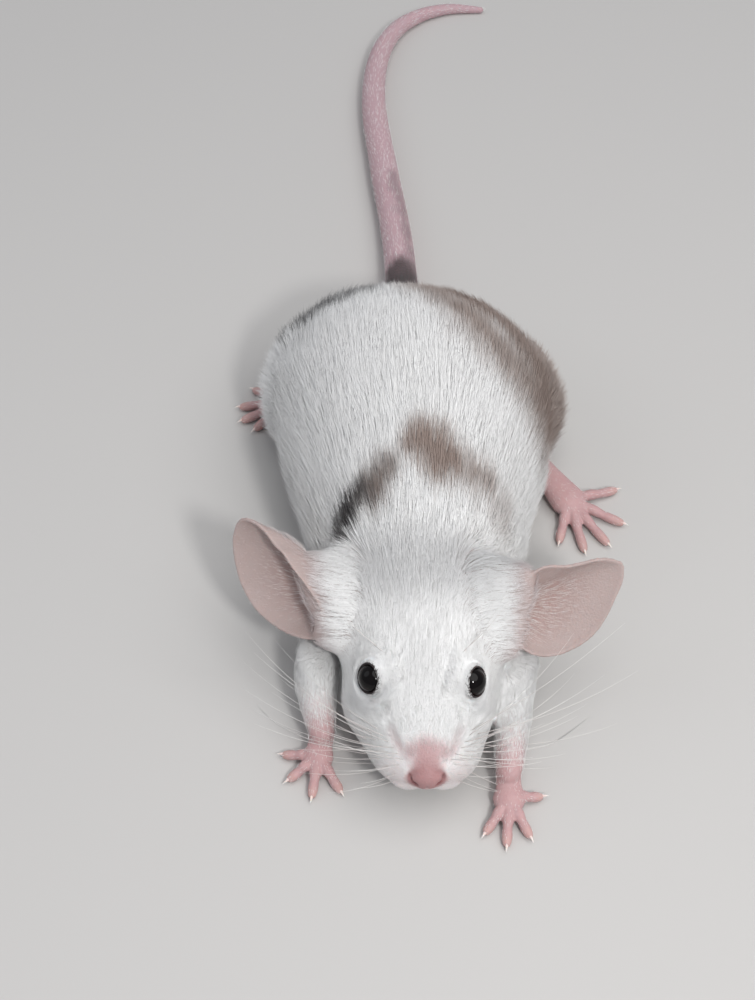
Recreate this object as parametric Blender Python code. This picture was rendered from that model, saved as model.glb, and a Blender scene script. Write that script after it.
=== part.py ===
"""A life-size pet mouse crouching on its belly, with its head raised a little and its tail laid out behind.

The mouse looks along -Y, its own left side is +X, and its belly, soles and tail rest on small flats at z = 0.
The origin is on the belly's flat, under the back of the chest. Sizes below are in millimetres and include
the coat.

The body is a loft through named cross-sections. Haunches, legs, paws, ears, eyes, nose and tail are forms of
their own. Where two forms meet, the one that gives way is cut back by a copy of the other, grown by SEAM, so
every node is a closed solid with a thin seam to its neighbours.
"""

import math
from dataclasses import dataclass

import bmesh
import bpy
from mathutils import Matrix, Vector

MM = 0.001
SEAM = 0.25
FLOOR_DEPTH = 12.0

BODY_RINGS = 40
BODY_RING_POINTS = 24

FUR_WHITE = (0.80, 0.79, 0.77)
SKIN_PINK = (0.80, 0.52, 0.50)
EAR_PINK = (0.66, 0.54, 0.52)
EYE_BLACK = (0.01, 0.01, 0.012)


@dataclass(frozen=True)
class Section:
    """A cross-section of the body: its place along the body and how far the coat reaches on each side."""

    y: float
    half_width: float
    top: float
    bottom: float
    widest: float
    shift: float = 0.0
    crown: float = 2.0
    keel: float = 2.0


# From the nose back over face, crown, neck, shoulders, loin and rump to the root of the tail.
BODY_SECTIONS = (
    Section(y=-38.9, half_width=2.0, top=9.1, bottom=5.7, widest=7.5, shift=0.6),
    Section(y=-38.0, half_width=3.9, top=9.9, bottom=4.5, widest=6.9, shift=0.6),
    Section(y=-36.0, half_width=5.8, top=11.2, bottom=3.3, widest=6.4, shift=0.5),
    Section(y=-33.5, half_width=7.3, top=12.6, bottom=2.7, widest=6.2, shift=0.3),
    Section(y=-31.0, half_width=8.6, top=14.1, bottom=2.4, widest=6.6, shift=0.0),
    Section(y=-28.0, half_width=9.2, top=15.8, bottom=2.4, widest=7.3, shift=0.0),
    Section(y=-24.5, half_width=9.7, top=17.6, bottom=2.4, widest=8.2, shift=0.1),
    Section(y=-21.0, half_width=10.2, top=19.0, bottom=2.4, widest=9.0, shift=0.2, crown=2.2),
    Section(y=-17.0, half_width=11.0, top=20.2, bottom=2.1, widest=9.6, shift=0.2, crown=2.2),
    Section(y=-12.5, half_width=12.3, top=21.5, bottom=1.6, widest=9.8, shift=0.1),
    Section(y=-7.0, half_width=14.0, top=23.0, bottom=0.4, widest=9.9, shift=0.0),
    Section(y=-1.0, half_width=15.9, top=24.3, bottom=-0.4, widest=9.8, shift=-0.1),
    Section(y=6.0, half_width=17.5, top=25.2, bottom=-0.6, widest=9.7, shift=-0.2),
    Section(y=13.0, half_width=18.2, top=25.2, bottom=-0.6, widest=9.7, shift=-0.3),
    Section(y=20.0, half_width=17.2, top=23.2, bottom=-0.4, widest=9.6, shift=-0.6),
    Section(y=26.0, half_width=15.0, top=19.7, bottom=-0.2, widest=9.1, shift=-1.4),
    Section(y=30.5, half_width=11.6, top=15.6, bottom=0.2, widest=7.7, shift=-1.6),
    Section(y=34.0, half_width=7.6, top=11.4, bottom=0.6, widest=6.0, shift=-1.6),
    Section(y=37.0, half_width=4.2, top=8.0, bottom=0.7, widest=4.4, shift=-1.5),
    Section(y=39.5, half_width=2.6, top=5.8, bottom=0.5, widest=3.1, shift=-1.4),
)
NOSE_TIP = Vector((0.6, -39.3, 7.6))
TAIL_ROOT_Y = 39.5
HEAD_BACK_Y = -14.5
NECK_BACK_Y = -8.0
NECK_LEAN = math.radians(20)


@dataclass(frozen=True)
class Swelling:
    """A soft bulge, or a hollow where height is negative, that the body's surface takes near a point."""

    centre: tuple
    reach: float
    height: float


FACE_SWELLINGS = (
    Swelling(centre=(-3.0, -36.4, 5.8), reach=2.4, height=0.5),
    Swelling(centre=(4.2, -36.4, 5.8), reach=2.4, height=0.5),
    Swelling(centre=(-5.2, -26.6, 14.2), reach=2.2, height=0.4),
    Swelling(centre=(5.8, -26.9, 14.2), reach=2.2, height=0.4),
    Swelling(centre=(0.6, -37.4, 4.0), reach=1.5, height=-0.6),
    Swelling(centre=(-9.6, -18.8, 14.6), reach=3.2, height=1.3),
    Swelling(centre=(9.8, -19.2, 14.2), reach=3.2, height=1.1),
)

EYE_RADIUS = 1.72
EYE_CENTRES = {"right": Vector((-5.35, -29.0, 12.3)), "left": Vector((5.8, -29.4, 12.2))}

NOSE_PAD_CENTRE = Vector((0.6, -38.6, 7.75))
NOSE_PAD_RADII = Vector((1.75, 1.35, 1.35))


@dataclass(frozen=True)
class Ear:
    """An ear: a cup whose rim lies round a centre in the plane that faces one way, with its well in the head."""

    centre: tuple
    upward: tuple
    facing: tuple
    rim: tuple
    well: tuple
    wall_depth: float
    front_depth: float
    front_heading: float


# The rim's reach from its centre every 20 degrees, from the ear's tip round by its outer side.
EARS = {
    "right": Ear(centre=(-17.0, -16.7, 13.8), upward=(-0.42, 0.71, 0.57), facing=(-0.63, -0.68, 0.38),
                 rim=(7.6, 6.8, 5.7, 5.0, 4.7, 4.6, 4.8, 5.1, 5.8, 7.0, 8.0, 7.0, 5.0, 4.4, 4.2, 4.4, 4.8, 6.4),
                 well=(-7.6, -18.6, 12.6), wall_depth=1.2, front_depth=3.6, front_heading=280.0),
    "left": Ear(centre=(15.9, -20.5, 15.0), upward=(0.75, 0.51, 0.42), facing=(0.15, -0.75, 0.65),
                rim=(6.6, 4.8, 4.0, 4.0, 4.5, 5.3, 5.8, 6.2, 6.6, 7.2, 7.4, 6.6, 5.8, 5.5, 5.4, 5.5, 6.0, 7.2),
                well=(8.0, -20.4, 12.8), wall_depth=1.8, front_depth=1.4, front_heading=90.0),
}
EAR_THICKNESS = 0.55


@dataclass(frozen=True)
class Haunch:
    """The rounded thigh and knee that stand out at the side of the rump."""

    centre: tuple
    radii: tuple
    turn: float


HAUNCHES = {
    "right": Haunch(centre=(-10.7, 16.5, 8.6), radii=(9.0, 13.0, 9.6), turn=2.0),
    "left": Haunch(centre=(9.9, 14.0, 8.4), radii=(9.2, 12.6, 9.4), turn=-6.0),
}

# Each foreleg runs from inside the shoulder over the elbow and forearm to the wrist: point and radius.
FORELEGS = {
    "right": (((-7.4, -14.5, 7.8), 3.4), ((-11.0, -19.5, 5.9), 3.4), ((-11.7, -24.5, 5.0), 3.0),
              ((-11.3, -28.2, 3.9), 2.2), ((-11.0, -30.4, 2.7), 1.6)),
    "left": (((7.4, -14.5, 8.2), 3.6), ((10.6, -20.5, 6.2), 3.7), ((10.6, -27.0, 5.2), 2.9),
             ((10.2, -32.0, 4.0), 2.1), ((9.9, -35.2, 2.7), 1.6)),
}


@dataclass(frozen=True)
class Foot:
    """A paw or hind foot: heel, ball, half widths there, and each toe's heading and reach from the ball."""

    heel: tuple
    ball: tuple
    heel_radius: float
    ball_radius: float
    flatness: float
    toe_radius: float
    toes: tuple


# A heading of 0 degrees points along -Y and a positive one turns towards +X.
FEET = {
    "forepaw_right": Foot(heel=(-11.0, -29.6, 2.2), ball=(-11.4, -32.2, 1.25), heel_radius=1.45, ball_radius=1.75,
                          flatness=0.70, toe_radius=0.52, toes=((32, 4.3), (-8, 4.2), (-52, 3.6), (-100, 3.6))),
    "forepaw_left": Foot(heel=(9.9, -34.6, 2.2), ball=(9.9, -37.6, 1.25), heel_radius=1.45, ball_radius=1.85,
                         flatness=0.70, toe_radius=0.52, toes=((-35, 4.5), (-5, 5.2), (26, 4.6), (100, 3.5))),
    "hindfoot_right": Foot(heel=(-8.2, 26.4, 2.4), ball=(-16.6, 22.6, 1.4), heel_radius=1.7, ball_radius=2.3,
                           flatness=0.62, toe_radius=0.62,
                           toes=((-20, 4.6), (-45, 5.6), (-66, 6.2), (-88, 6.0), (-122, 5.2))),
    "hindfoot_left": Foot(heel=(13.4, 14.8, 2.4), ball=(19.4, 5.4, 1.4), heel_radius=1.7, ball_radius=2.3,
                          flatness=0.62, toe_radius=0.62,
                          toes=((-14, 5.8), (12, 7.2), (36, 7.4), (66, 7.0), (112, 6.5))),
}
CLAW_LENGTH = 1.0
CLAW_RADIUS = 0.27

# The tail's middle line: point and radius. It leaves the rump, drops to the floor and ends in a slow curl.
TAIL_ROUTE = (
    ((-1.4, 39.0, 3.1), 2.45), ((-1.35, 44.0, 2.5), 2.35), ((-2.0, 54.5, 2.1), 2.25), ((-3.9, 70.5, 1.95), 2.10),
    ((-5.3, 85.5, 1.75), 1.90), ((-4.5, 97.0, 1.52), 1.67), ((-1.8, 104.8, 1.27), 1.40), ((2.2, 109.2, 1.03), 1.15),
    ((7.0, 111.4, 0.80), 0.90), ((12.2, 111.6, 0.50), 0.58),
)
TAIL_STEPS = 3
TAIL_RING_POINTS = 12
TAIL_LENGTHS = ("tail_base", "tail_middle", "tail_tip")


def clear_scene():
    """Removes every object of the scene."""
    for obj in list(bpy.data.objects):
        bpy.data.objects.remove(obj)


def material(name, colour, roughness):
    """A plain material of one colour."""
    made = bpy.data.materials.new(name)
    made.use_nodes = True
    shader = made.node_tree.nodes["Principled BSDF"]
    shader.inputs["Base Color"].default_value = (*colour, 1.0)
    shader.inputs["Roughness"].default_value = roughness
    return made


def object_from(name, mesh_maker):
    """A new object whose mesh is what mesh_maker leaves in a bmesh worked in millimetres."""
    bm = bmesh.new()
    mesh_maker(bm)
    bmesh.ops.recalc_face_normals(bm, faces=bm.faces)
    bmesh.ops.scale(bm, vec=(MM, MM, MM), verts=bm.verts)
    mesh = bpy.data.meshes.new(name)
    bm.to_mesh(mesh)
    bm.free()
    obj = bpy.data.objects.new(name, mesh)
    bpy.context.scene.collection.objects.link(obj)
    return obj


def evaluated_copy(obj):
    """The object's mesh with its modifiers applied."""
    graph = bpy.context.evaluated_depsgraph_get()
    return bpy.data.meshes.new_from_object(obj.evaluated_get(graph), depsgraph=graph)


def apply_modifiers(obj):
    """Makes what the modifiers give the object's own mesh."""
    bpy.context.view_layer.update()
    mesh = evaluated_copy(obj)
    obj.modifiers.clear()
    obj.data = mesh


def cut_away(obj, *cutters, operation="DIFFERENCE"):
    """Applies a Boolean with each cutter in turn."""
    for cutter in cutters:
        cut = obj.modifiers.new("cut", "BOOLEAN")
        cut.operation = operation
        cut.solver = "EXACT"
        cut.object = cutter
        apply_modifiers(obj)


def grown(obj, by):
    """A helper copy of the object whose surface stands out by this much all over."""
    mesh = obj.data.copy()
    copy = bpy.data.objects.new(obj.name + "_grown", mesh)
    bpy.context.scene.collection.objects.link(copy)
    normals = [vertex.normal.copy() for vertex in mesh.vertices]
    for vertex, normal in zip(mesh.vertices, normals):
        vertex.co += normal * by * MM
    return as_helper(copy)


def as_helper(obj):
    """Marks the object as a cutter that isn't part of the mouse."""
    obj.hide_render = True
    obj.display_type = "WIRE"
    return obj


def remove(*objects):
    """Removes helpers that are no longer needed."""
    for obj in objects:
        bpy.data.objects.remove(obj)


def eased(knots, values, at):
    """The value at a place on the smooth curve through the values at increasing knots."""
    last = len(knots) - 1
    i = max(0, min(last - 1, sum(knot <= at for knot in knots) - 1))
    slopes = []
    for k in (i, i + 1):
        before, after = max(k - 1, 0), min(k + 1, last)
        slopes.append((values[after] - values[before]) / (knots[after] - knots[before]))
    span = knots[i + 1] - knots[i]
    t = (at - knots[i]) / span
    return (
        (2 * t**3 - 3 * t**2 + 1) * values[i]
        + (t**3 - 2 * t**2 + t) * span * slopes[0]
        + (-2 * t**3 + 3 * t**2) * values[i + 1]
        + (t**3 - t**2) * span * slopes[1]
    )


def signed_power(value, exponent):
    """The value raised to the exponent, keeping its sign."""
    return math.copysign(abs(value) ** exponent, value)


def bridge_rings(bm, rings, start=None, end=None):
    """Faces between rings of vertices, closed by a fan to a start or end point, or by a flat cap."""
    count = len(rings[0])
    for near, far in zip(rings, rings[1:]):
        for k in range(count):
            bm.faces.new((near[k], near[(k + 1) % count], far[(k + 1) % count], far[k]))
    for ring, pole in ((rings[0], start), (rings[-1], end)):
        if pole is None:
            bm.faces.new(ring)
        else:
            tip = bm.verts.new(pole)
            for k in range(count):
                bm.faces.new((ring[k], ring[(k + 1) % count], tip))


def section_point(section, angle):
    """A point of the cross-section, counted from the mouse's left side over its back."""
    across, upright = math.cos(angle), math.sin(angle)
    power = 2 / (section["crown"] if upright > 0 else section["keel"])
    reach = section["top"] - section["widest"] if upright > 0 else section["widest"] - section["bottom"]
    return Vector((
        section["shift"] + section["half_width"] * signed_power(across, power),
        section["y"],
        section["widest"] + reach * signed_power(upright, power),
    ))


def section_at(y):
    """The smoothed cross-section at a place along the body."""
    knots = [section.y for section in BODY_SECTIONS]
    fields = ("half_width", "top", "bottom", "widest", "shift", "crown", "keel")
    found = {field: eased(knots, [getattr(s, field) for s in BODY_SECTIONS], y) for field in fields}
    found["y"] = y
    return found


def body_mesh(bm):
    """The loft from the nose to the root of the tail, with its rings closer together on the head."""
    first, last = BODY_SECTIONS[0].y, BODY_SECTIONS[-1].y
    rings = []
    for i in range(BODY_RINGS):
        along = i / (BODY_RINGS - 1)
        y = first + (last - first) * (0.45 * along + 0.55 * along**1.8)
        section = section_at(y)
        angles = [math.tau * k / BODY_RING_POINTS for k in range(BODY_RING_POINTS)]
        rings.append([bm.verts.new(section_point(section, angle)) for angle in angles])
    bridge_rings(bm, rings, start=NOSE_TIP)
    bmesh.ops.recalc_face_normals(bm, faces=bm.faces)
    bm.normal_update()
    moves = {vertex: Vector() for vertex in bm.verts}
    for swelling in FACE_SWELLINGS:
        for vertex, move in moves.items():
            share = math.exp(-((vertex.co - Vector(swelling.centre)).length / swelling.reach) ** 2)
            move += vertex.normal * swelling.height * share
    for vertex, move in moves.items():
        vertex.co += move


def ball(bm, centre, radii, turn_degrees=0.0, rings=16, points=24):
    """An ellipsoid, turned about the upright axis."""
    place = (
        Matrix.Translation(centre)
        @ Matrix.Rotation(math.radians(turn_degrees), 4, "Z")
        @ Matrix.Diagonal((*radii, 1.0))
    )
    bmesh.ops.create_uvsphere(bm, u_segments=points, v_segments=rings, radius=1.0, matrix=place)


def tube(bm, route, points, flatness=1.0, steps=3):
    """A tapered limb with round ends through (point, radius) pairs, squashed upright by flatness."""
    centres = [Vector(point) for point, _ in route]
    radii = [radius for _, radius in route]
    lengths = [0.0]
    for near, far in zip(centres, centres[1:]):
        lengths.append(lengths[-1] + (far - near).length)
    places = [0.0]
    for near, far in zip(lengths, lengths[1:]):
        places += [near + (far - near) * step / steps for step in range(1, steps + 1)]
    line = [Vector([eased(lengths, [c[axis] for c in centres], at) for axis in range(3)]) for at in places]
    widths = [eased(lengths, radii, at) for at in places]
    first_way = (line[1] - line[0]).normalized()
    last_way = (line[-1] - line[-2]).normalized()
    cap = [math.radians(degrees) for degrees in (60, 30)]
    head = [(line[0] - first_way * widths[0] * math.sin(a), widths[0] * math.cos(a), first_way) for a in cap]
    tail = [(line[-1] + last_way * widths[-1] * math.sin(a), widths[-1] * math.cos(a), last_way) for a in cap[::-1]]
    ways = [(line[min(i + 1, len(line) - 1)] - line[max(i - 1, 0)]).normalized() for i in range(len(line))]
    stations = head + list(zip(line, widths, ways)) + tail
    rings = []
    for centre, radius, way in stations:
        side = way.cross(Vector((0, 0, 1))).normalized()
        up = side.cross(way)
        ring = []
        for k in range(points):
            angle = math.tau * k / points
            ring.append(bm.verts.new(centre + radius * (side * math.cos(angle) + up * flatness * math.sin(angle))))
        rings.append(ring)
    bridge_rings(
        bm, rings, start=line[0] - first_way * widths[0], end=line[-1] + last_way * widths[-1]
    )


def toe_route(foot, heading, reach):
    """A toe's joints from inside the ball of the foot to its tip: point and radius."""
    way = Vector((math.sin(math.radians(heading)), -math.cos(math.radians(heading)), 0))
    root = Vector(foot.ball)
    radius = foot.toe_radius
    knuckle = root + way * reach * 0.52
    knuckle.z = radius * 1.55
    tip = root + way * reach
    tip.z = radius * 0.82
    return ((root, radius * 1.15), (knuckle, radius), (tip, radius * 0.86)), way


def foot_mesh(foot):
    """A maker of one foot: sole, toes and claws as overlapping closed shapes."""

    def make(bm):
        middle = (Vector(foot.heel) + Vector(foot.ball)) / 2
        sole = ((foot.heel, foot.heel_radius), (middle, foot.heel_radius), (foot.ball, foot.ball_radius))
        tube(bm, sole, points=16, flatness=foot.flatness)
        for heading, reach in foot.toes:
            route, way = toe_route(foot, heading, reach)
            tube(bm, route, points=10)
            tip = route[-1][0]
            end = tip + way * (foot.toe_radius + CLAW_LENGTH)
            end.z = CLAW_RADIUS * 0.8
            claw = ((tip + Vector((0, 0, 0.1)), CLAW_RADIUS * 1.2), ((tip + end) / 2, CLAW_RADIUS), (end, CLAW_RADIUS))
            tube(bm, claw, points=8, steps=1)

    return make


def fused(obj, voxel, faces):
    """Melts the object's overlapping shapes into one smooth surface with about this many faces."""
    remesh = obj.modifiers.new("fuse", "REMESH")
    remesh.mode = "VOXEL"
    remesh.voxel_size = voxel * MM
    soften = obj.modifiers.new("soften", "SMOOTH")
    soften.factor = 0.5
    soften.iterations = 2
    apply_modifiers(obj)
    thin = obj.modifiers.new("thin", "DECIMATE")
    thin.ratio = faces / (2 * len(obj.data.polygons))
    apply_modifiers(obj)


def ear_rim(ear, angle):
    """A point of the ear's rim, counted from the tip in degrees."""
    upward = Vector(ear.upward).normalized()
    facing = Vector(ear.facing)
    facing = (facing - upward * facing.dot(upward)).normalized()
    outward = facing.cross(upward)
    spacing = 360.0 / len(ear.rim)
    knots = [spacing * k for k in range(-2, len(ear.rim) + 3)]
    reach = eased(knots, [ear.rim[k % len(ear.rim)] for k in range(-2, len(ear.rim) + 3)], angle)
    turn = math.radians(angle)
    return Vector(ear.centre) + reach * (upward * math.cos(turn) + outward * math.sin(turn)), facing


def ear_point(ear, inward, angle):
    """A point of the ear's cup: inward is 0 at the rim and 1 at the well."""
    rim, facing = ear_rim(ear, angle)
    frontness = 0.5 + 0.5 * math.cos(math.radians(angle - ear.front_heading))
    depth = ear.wall_depth + (ear.front_depth - ear.wall_depth) * frontness
    wall = rim.lerp(Vector(ear.well), 0.35) - facing * depth
    return rim * (1 - inward) ** 2 + wall * 2 * inward * (1 - inward) + Vector(ear.well) * inward**2


def ear_mesh(ear):
    """A maker of one ear: a cupped sheet in rings from its rim to its well."""

    def make(bm):
        rings, points = 6, 30
        circles = []
        for i in range(rings):
            angles = [360.0 * k / points for k in range(points)]
            circles.append([bm.verts.new(ear_point(ear, 0.8 * i / (rings - 1), angle)) for angle in angles])
        for near, far in zip(circles, circles[1:]):
            for k in range(points):
                bm.faces.new((near[k], far[k], far[(k + 1) % points], near[(k + 1) % points]))

    return make


def tail_mesh(bm):
    """The whole tail as one tapered tube."""
    tube(bm, TAIL_ROUTE, points=TAIL_RING_POINTS, steps=TAIL_STEPS)


def slab(name, y, lean, thickness):
    """A thin upright plate across the body, leaning back at its top."""

    def make(bm):
        place = (
            Matrix.Translation((0, y, 10))
            @ Matrix.Rotation(-lean, 4, "X")
            @ Matrix.Diagonal((60, thickness, 60, 1))
        )
        bmesh.ops.create_cube(bm, size=1.0, matrix=place)

    return as_helper(object_from(name, make))


def block(name, low, high):
    """A box between two corners."""
    size = Vector(high) - Vector(low)
    middle = (Vector(high) + Vector(low)) / 2

    def make(bm):
        bmesh.ops.create_cube(bm, size=1.0, matrix=Matrix.Translation(middle) @ Matrix.Diagonal((*size, 1)))

    return as_helper(object_from(name, make))


def loose_parts(obj):
    """The object's separate bodies as new objects, the largest first."""
    bm = bmesh.new()
    bm.from_mesh(obj.data)
    left = set(bm.verts)
    groups = []
    while left:
        stack = [left.pop()]
        group = set(stack)
        while stack:
            for edge in stack.pop().link_edges:
                for vertex in edge.verts:
                    if vertex in left:
                        left.discard(vertex)
                        group.add(vertex)
                        stack.append(vertex)
        groups.append(group)
    groups.sort(key=len, reverse=True)
    made = []
    for i, group in enumerate(groups):
        part = bm.copy()
        part.verts.ensure_lookup_table()
        keep = {vertex.index for vertex in group}
        bmesh.ops.delete(part, geom=[v for v in part.verts if v.index not in keep], context="VERTS")
        mesh = bpy.data.meshes.new(f"{obj.name}_{i}")
        part.to_mesh(mesh)
        part.free()
        piece = bpy.data.objects.new(mesh.name, mesh)
        bpy.context.scene.collection.objects.link(piece)
        made.append(piece)
    bm.free()
    return made


def keep_largest(obj):
    """Drops the slivers that a cut leaves beside the object's main body."""
    parts = loose_parts(obj)
    obj.data = parts[0].data.copy()
    remove(*parts)


def finish(obj, name, coat):
    """Names the node, shades it smooth and gives it its material."""
    obj.name = name
    obj.data.materials.clear()
    obj.data.materials.append(coat)
    obj.data.shade_smooth()
    obj.data.set_sharp_from_angle(angle=math.radians(40))


def middle_y(obj):
    """The middle of the object's extent along the body."""
    ys = [vertex.co.y for vertex in obj.data.vertices]
    return (min(ys) + max(ys)) / 2


def build():
    """Makes every node of the mouse."""
    clear_scene()
    fur = material("fur", FUR_WHITE, 0.9)
    skin = material("skin", SKIN_PINK, 0.55)
    ear_skin = material("ear_skin", EAR_PINK, 0.6)
    eye_gloss = material("eye", EYE_BLACK, 0.05)

    floor = block("floor", (-60, -70, -FLOOR_DEPTH), (60, 140, 0))
    body = object_from("body", body_mesh)

    feet = {}
    for name, foot in FEET.items():
        feet[name] = object_from(name, foot_mesh(foot))
        fused(feet[name], voxel=0.18, faces=470)
        cut_away(feet[name], floor)
        keep_largest(feet[name])
    feet_grown = {name: grown(foot, SEAM + 0.1) for name, foot in feet.items()}
    for foot in feet_grown.values():
        fused(foot, voxel=0.2, faces=500)

    haunches = {}
    for side, haunch in HAUNCHES.items():
        haunches[side] = object_from(
            f"hindleg_{side}", lambda bm, h=haunch: ball(bm, h.centre, h.radii, h.turn, rings=12, points=18)
        )
        middle = block("middle", (-3, -60, -30), (60, 140, 60)) if side == "right" else block(
            "middle", (-60, -60, -30), (3, 140, 60))
        cut_away(haunches[side], middle)
        remove(middle)
    haunches_grown = {side: grown(haunch, SEAM) for side, haunch in haunches.items()}
    body_grown = grown(body, SEAM)

    eyes = {}
    for side, centre in EYE_CENTRES.items():
        radii = (EYE_RADIUS,) * 3
        eyes[side] = object_from(f"eye_{side}", lambda bm, c=centre, r=radii: ball(bm, c, r, rings=8, points=12))
    eyes_grown = [grown(eye, SEAM / 2) for eye in eyes.values()]

    nose = object_from("nose", lambda bm: ball(bm, NOSE_PAD_CENTRE, NOSE_PAD_RADII, rings=8, points=12))
    nose_grown = grown(nose, SEAM / 2)

    ears = {}
    for side, ear in EARS.items():
        ears[side] = object_from(f"ear_{side}", ear_mesh(ear))
        sheet = ears[side].modifiers.new("thickness", "SOLIDIFY")
        sheet.thickness = EAR_THICKNESS * MM
        sheet.offset = 0.0
        apply_modifiers(ears[side])
        fused(ears[side], voxel=0.15, faces=620)
        cut_away(ears[side], body_grown)
        keep_largest(ears[side])

    forelegs = {}
    for side, route in FORELEGS.items():
        forelegs[side] = object_from(f"foreleg_{side}", lambda bm, r=route: tube(bm, r, points=16, steps=2))
        cut_away(forelegs[side], body_grown, feet_grown[f"forepaw_{side}"], floor)
        keep_largest(forelegs[side])

    for side, haunch in haunches.items():
        cut_away(haunch, feet_grown[f"hindfoot_{side}"], floor)
        keep_largest(haunch)

    cut_away(body, floor, *feet_grown.values(), *haunches_grown.values(), *eyes_grown, nose_grown)
    keep_largest(body)
    seams = [slab("head_seam", HEAD_BACK_Y, NECK_LEAN, SEAM), slab("neck_seam", NECK_BACK_Y, NECK_LEAN, SEAM)]
    cut_away(body, *seams)
    trunk_parts = loose_parts(body)[:3]
    trunk_parts.sort(key=middle_y)

    tail = object_from("tail", tail_mesh)
    root = block("tail_root", (-20, 0, -20), (20, TAIL_ROOT_Y + SEAM, 40))
    cut_away(tail, root, floor)
    keep_largest(tail)
    ends = [TAIL_ROOT_Y + (TAIL_ROUTE[-1][0][1] - TAIL_ROOT_Y) * share for share in (0.36, 0.72)]
    cuts = [slab(f"tail_seam_{i}", y, 0.0, SEAM) for i, y in enumerate(ends)]
    cut_away(tail, *cuts)
    tail_parts = loose_parts(tail)[:3]
    tail_parts.sort(key=middle_y)

    remove(floor, root, body, tail, body_grown, nose_grown, *eyes_grown, *seams, *cuts)
    remove(*feet_grown.values(), *haunches_grown.values())

    for part, name in zip(trunk_parts, ("head", "neck", "trunk")):
        finish(part, name, fur)
    for part, name in zip(tail_parts, TAIL_LENGTHS):
        finish(part, name, skin)
    for side in ("left", "right"):
        finish(haunches[side], f"hindleg_{side}", fur)
        finish(forelegs[side], f"foreleg_{side}", fur)
        finish(ears[side], f"ear_{side}", ear_skin)
        finish(eyes[side], f"eye_{side}", eye_gloss)
    for name, foot in feet.items():
        finish(foot, name, skin)
    finish(nose, "nose", skin)


build()
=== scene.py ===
"""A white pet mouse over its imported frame: a skin, a coat of fine tufts, eyes, claws and whiskers.

Every form is laid out in millimetres in the frame's axes: the mouse looks along -Y, its own left
side is +X and the floor is z = 0. The forms lie inside the frame's solids by the depth of the coat,
and the coat fills the rest.
"""

import logging
import math
from dataclasses import dataclass
from enum import Enum

import bpy
import numpy as np
from bpy.types import ID, Material, Node, NodeSocket, Object
from mathutils import Matrix, Vector
from mathutils.bvhtree import BVHTree
from mathutils.kdtree import KDTree
from numpy.random import Generator


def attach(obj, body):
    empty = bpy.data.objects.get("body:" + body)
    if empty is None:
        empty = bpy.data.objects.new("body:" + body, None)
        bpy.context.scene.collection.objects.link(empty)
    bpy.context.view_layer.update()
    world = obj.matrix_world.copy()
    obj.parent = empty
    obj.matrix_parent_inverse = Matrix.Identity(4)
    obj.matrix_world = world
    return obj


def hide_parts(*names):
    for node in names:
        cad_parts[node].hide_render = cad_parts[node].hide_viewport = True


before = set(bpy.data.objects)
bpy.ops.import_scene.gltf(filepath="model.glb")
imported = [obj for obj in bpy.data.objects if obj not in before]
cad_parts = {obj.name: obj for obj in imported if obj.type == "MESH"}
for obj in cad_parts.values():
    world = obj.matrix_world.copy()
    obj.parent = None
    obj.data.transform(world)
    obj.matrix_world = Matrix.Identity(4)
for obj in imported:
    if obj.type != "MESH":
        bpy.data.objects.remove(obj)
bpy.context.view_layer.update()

Array = np.ndarray
LOG = logging.getLogger("mouse")
MM = 0.001
SEED = 20261
BODY = "root"
EAR_MOUND = "ear_mound"
TAIL_RINGS = 150.0
FLESH_NODES = tuple(sorted(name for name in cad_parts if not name.startswith("eye_")))


# --- small helpers


def unit(vectors: Array | tuple) -> Array:
    """Scales each vector to length one."""
    vectors = np.asarray(vectors, float)
    return vectors / np.maximum(np.linalg.norm(vectors, axis=-1, keepdims=True), 1e-9)


def smoothstep(low: float, high: float, values: Array) -> Array:
    """Rises smoothly from 0 at low to 1 at high."""
    t = np.clip((values - low) / (high - low), 0.0, 1.0)
    return t * t * (3 - 2 * t)


def eased(knots: Array, values: Array, at: Array) -> Array:
    """Reads a smooth curve through values at increasing knots.

    Args:
        knots: Increasing places, one for each value.
        values: The curve's values, of shape (knots,) or (knots, axes).
        at: Places to read.

    Returns:
        The curve's values at those places.
    """
    knots, values, at = (np.asarray(a, float) for a in (knots, values, at))
    last = len(knots) - 1
    around = [(max(k - 1, 0), min(k + 1, last)) for k in range(last + 1)]
    slopes = np.array([(values[b] - values[a]) / (knots[b] - knots[a]) for a, b in around])
    i = np.clip(np.searchsorted(knots, at, side="right") - 1, 0, last - 1)
    span = knots[i + 1] - knots[i]
    t = (at - knots[i]) / span
    if values.ndim == 2:
        span, t = span[..., None], t[..., None]
    return (
        (2 * t**3 - 3 * t**2 + 1) * values[i]
        + (t**3 - 2 * t**2 + t) * span * slopes[i]
        + (-2 * t**3 + 3 * t**2) * values[i + 1]
        + (t**3 - t**2) * span * slopes[i + 1]
    )


def read_steps(table: tuple, at: Array) -> Array:
    """Reads a table of (place, value) pairs at some places, with straight runs between them."""
    places, values = zip(*table)
    return np.interp(at, places, values)


def lattice_noise(points: Array, size: float, seed: int) -> Array:
    """Smooth noise between -1 and 1.

    Args:
        points: Points in millimetres.
        size: The width of a blot, in millimetres.
        seed: Which noise.

    Returns:
        One value for each point.
    """
    p = points / size + seed * 17.31
    cell = np.floor(p).astype(np.int64)
    f = p - cell
    f = f * f * (3 - 2 * f)
    total = np.zeros(len(points))
    for corner in range(8):
        step = np.array([corner & 1, corner >> 1 & 1, corner >> 2 & 1])
        x, y, z = (cell + step).T
        mixed = (x * 73856093) ^ (y * 19349663) ^ (z * 83492791) ^ (seed * 2654435)
        mixed = (mixed ^ (mixed >> 13)) * 1274126177
        value = ((mixed ^ (mixed >> 16)) & 0xFFFF) / 32767.5 - 1.0
        weight = np.prod(np.where(step == 1, f, 1 - f), axis=1)
        total += value * weight
    return total


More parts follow.
